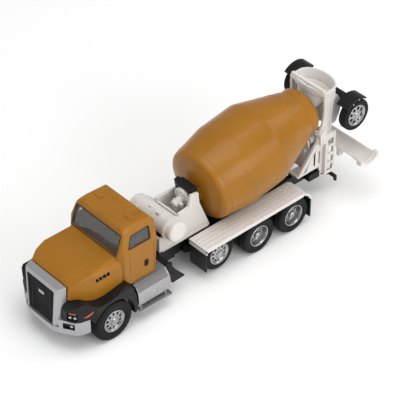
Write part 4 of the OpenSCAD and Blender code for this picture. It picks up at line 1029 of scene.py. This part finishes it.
# ---------- rear tower ----------
def make_rear():
    """Webs and flanges of the tower, grey sheets for the collector's sides in painted shade, the
    bar under the hopper.
    """
    bits = []
    for s in (-1, 1):
        # web between the raked leg and the column, with two slots
        lo, hi = sorted((s * 11.6, s * 12.7))
        web = prism([(-63.4, 20.8), (-66.4, 20.8), (-73.4, 20.8), (-73.4, 15.6), (-76.6, 15.6),
                     (-76.6, 40.8), (-72.2, 42.0), (-70.8, 37.0)], "y", lo, hi)
        if s > 0:
            for x in (-70.2, -73.8):
                combine(web, block((x, 8, 23), (x + 1.1, 16, 34.5)))
        bits.append(soften(web, 0.15, 2))
        # shoulder above the ladder box
        lo, hi = sorted((s * 11.4, s * 14.9))
        if s > 0:
            bits.append(soften(prism([(-75.7, 36.2), (-71.6, 36.8), (-71.2, 43.4), (-75.7, 45.2)],
                                     "y", lo, hi), 0.3, 2))
            for z in (37.4, 39.6):
                bits.append(bolt(-73.6, 14.95, z, 0.5))
        # flange along the column's hollow edge
        y = s * 12.7
        bits.append(tube([(-75.3, y, 62.8), (-75.6, y, 57), (-75.2, y, 51.6), (-74.4, y, 47.8),
                          (-72.3, y, 43.6), (-70.9, y, 38.2)], 0.42))
        bits.append(tube([(-60.2, y, 21.4), (-70.4, y, 33.6), (-70.9, y, 38.2)], 0.42))
    piece(join(bits), "tower_webs", "white", "truck", edge=0.1)
    # the collector's sides as flat grey sheets: painted shade on a white part that lies in shade
    shade_sheets = []
    for s in (-1, 1):
        lo, hi = sorted((s * 11.5, s * 12.5))
        shade_sheets.append(soften(prism(rounded([(-81.6, 64.6), (-84.6, 62.8), (-87.2, 58.6),
                                            (-87.9, 54.0), (-86.8, 49.6), (-84.4, 44.9),
                                            (-81.2, 44.9)], 1.2), "y", lo, hi), 0.2, 2))
    piece(join(shade_sheets), "collector_shade_sheets", "grey", "truck", edge=0.1)
    lip = [soften(block((-76.6, -12.1, 67.3), (-74.6, 12.1, 68.8)), 0.3, 3),
           soften(block((-75.6, -12.0, 65.3), (-74.5, 12.0, 66.0)), 0.2, 2)]
    for y in (-8, 0, 8):
        lip.append(block((-75.5, y - 0.3, 65.8), (-74.7, y + 0.3, 67.5)))
    piece(join(lip), "hopper_bar", "white", "truck", edge=0.08)
    bolts = []
    for s in (-1, 1):
        for x, z in ((-85.5, 61.3), (-89.6, 62.6)):
            bolts.append(bolt(x, s * 23.4, z, 0.44, sink=0.4, steps=16))
    piece(join(bolts), "booster_fender_bolts", "silver", "booster_arm", edge=0)


def make_chute_trim():
    """End collar, hook and stiffening hoops of the main chute."""

    def arc(r, steps=20):
        """The part of the lower half circle that lies below the trough's rim."""
        turns = [math.pi * (1 + k / steps) for k in range(steps + 1)]
        points = [(CHUTE_X + r * math.cos(a), CHUTE_CZ + r * math.sin(a)) for a in turns]
        return [(x, z) for x, z in points if z < CHUTE_TOP]

    def hoop(y0, y1, r0, r1):
        return prism(arc(r1) + arc(r0)[::-1], "y", y0, y1)

    parts = [hoop(y, y + 0.7, 6.2, 6.75) for y in (4, 11, 18)]
    parts.append(hoop(26.4, 29.9, 6.2, 6.8))
    parts.append(hoop(31.6, 32.2, 5.05, 5.6))
    parts.append(soften(block((-84.3, 30.4, 27.8), (-82.7, 33.9, 31.0)), 0.5, 3))
    parts.append(soften(block((-96.6, 30.4, 28.2), (-94.8, 33.9, 31.4)), 0.5, 3))
    piece(join(parts), "chute_hoops", "white", "chute", edge=0.08)


make_decks()
make_step_tanks()
make_side_panels()
make_drive()
make_front_pedestal()
make_rear()
make_chute_trim()


# ---------- camera, floor, light ----------
def make_camera():
    """The photo's own view: from the truck's left front and above, with a long lens."""
    az, el, dist = math.radians(138.043), math.radians(39.195), 0.91305
    back = Vector((math.sin(az) * math.cos(el), -math.cos(az) * math.cos(el), math.sin(el)))
    cam_data = bpy.data.cameras.new("camera")
    cam_data.sensor_width = 36.0
    cam_data.lens = 160.87
    cam_data.clip_start, cam_data.clip_end = 0.02, 20.0
    cam = bpy.data.objects.new("camera", cam_data)
    bpy.context.scene.collection.objects.link(cam)
    bpy.context.scene.camera = cam
    cam.location = at(0.0, -0.2, 30.16) + back * dist
    cam.rotation_mode = "QUATERNION"
    cam.rotation_quaternion = (-back).to_track_quat("-Z", "Y")


def make_floor():
    bm = bmesh.new()
    bmesh.ops.create_grid(bm, x_segments=8, y_segments=8, size=3.0)
    mesh = bpy.data.meshes.new("floor")
    bm.to_mesh(mesh)
    bm.free()
    floor = bpy.data.objects.new("floor", mesh)
    bpy.context.scene.collection.objects.link(floor)
    m, nt, bsdf, vec = new_mat("pale_floor")
    nt.links.new(ramp(nt, noise(nt, vec, 3.0), [(0.3, (0.955, 0.955, 0.955)),
                                                (0.7, (0.97, 0.97, 0.97))]),
                 bsdf.inputs["Base Color"])
    bsdf.inputs["Roughness"].default_value = 0.9
    bsdf.inputs["Specular IOR Level"].default_value = 0.1
    mesh.materials.append(m)


def area(name, loc, size, power):
    """A soft light aimed at the middle of the truck."""
    light = bpy.data.lights.new(name, "AREA")
    light.shape = "RECTANGLE"
    light.size, light.size_y = size
    light.energy = power
    obj = bpy.data.objects.new(name, light)
    bpy.context.scene.collection.objects.link(obj)
    obj.location = Vector(loc)
    obj.rotation_mode = "QUATERNION"
    obj.rotation_quaternion = (Vector((0, 0, 0.03)) - Vector(loc)).to_track_quat("-Z", "Y")


def make_light():
    area("key", (0.1, 0.15, 1.1), (0.8, 0.8), 5.6)
    area("side", (-0.1, 1.1, 0.5), (0.9, 0.6), 6.2)
    area("fill", (1.0, -0.3, 0.6), (0.7, 0.7), 1.2)
    area("back", (-0.9, 0.3, 0.8), (0.7, 0.5), 2.0)
    world = bpy.data.worlds.new("studio")
    bpy.context.scene.world = world
    world.use_nodes = True
    sky = next(n for n in world.node_tree.nodes if n.type == "BACKGROUND")
    sky.inputs["Color"].default_value = (1.0, 1.0, 1.0, 1.0)
    sky.inputs["Strength"].default_value = 0.5
    bpy.context.scene.view_settings.view_transform = "Standard"


make_camera()
make_floor()
make_light()
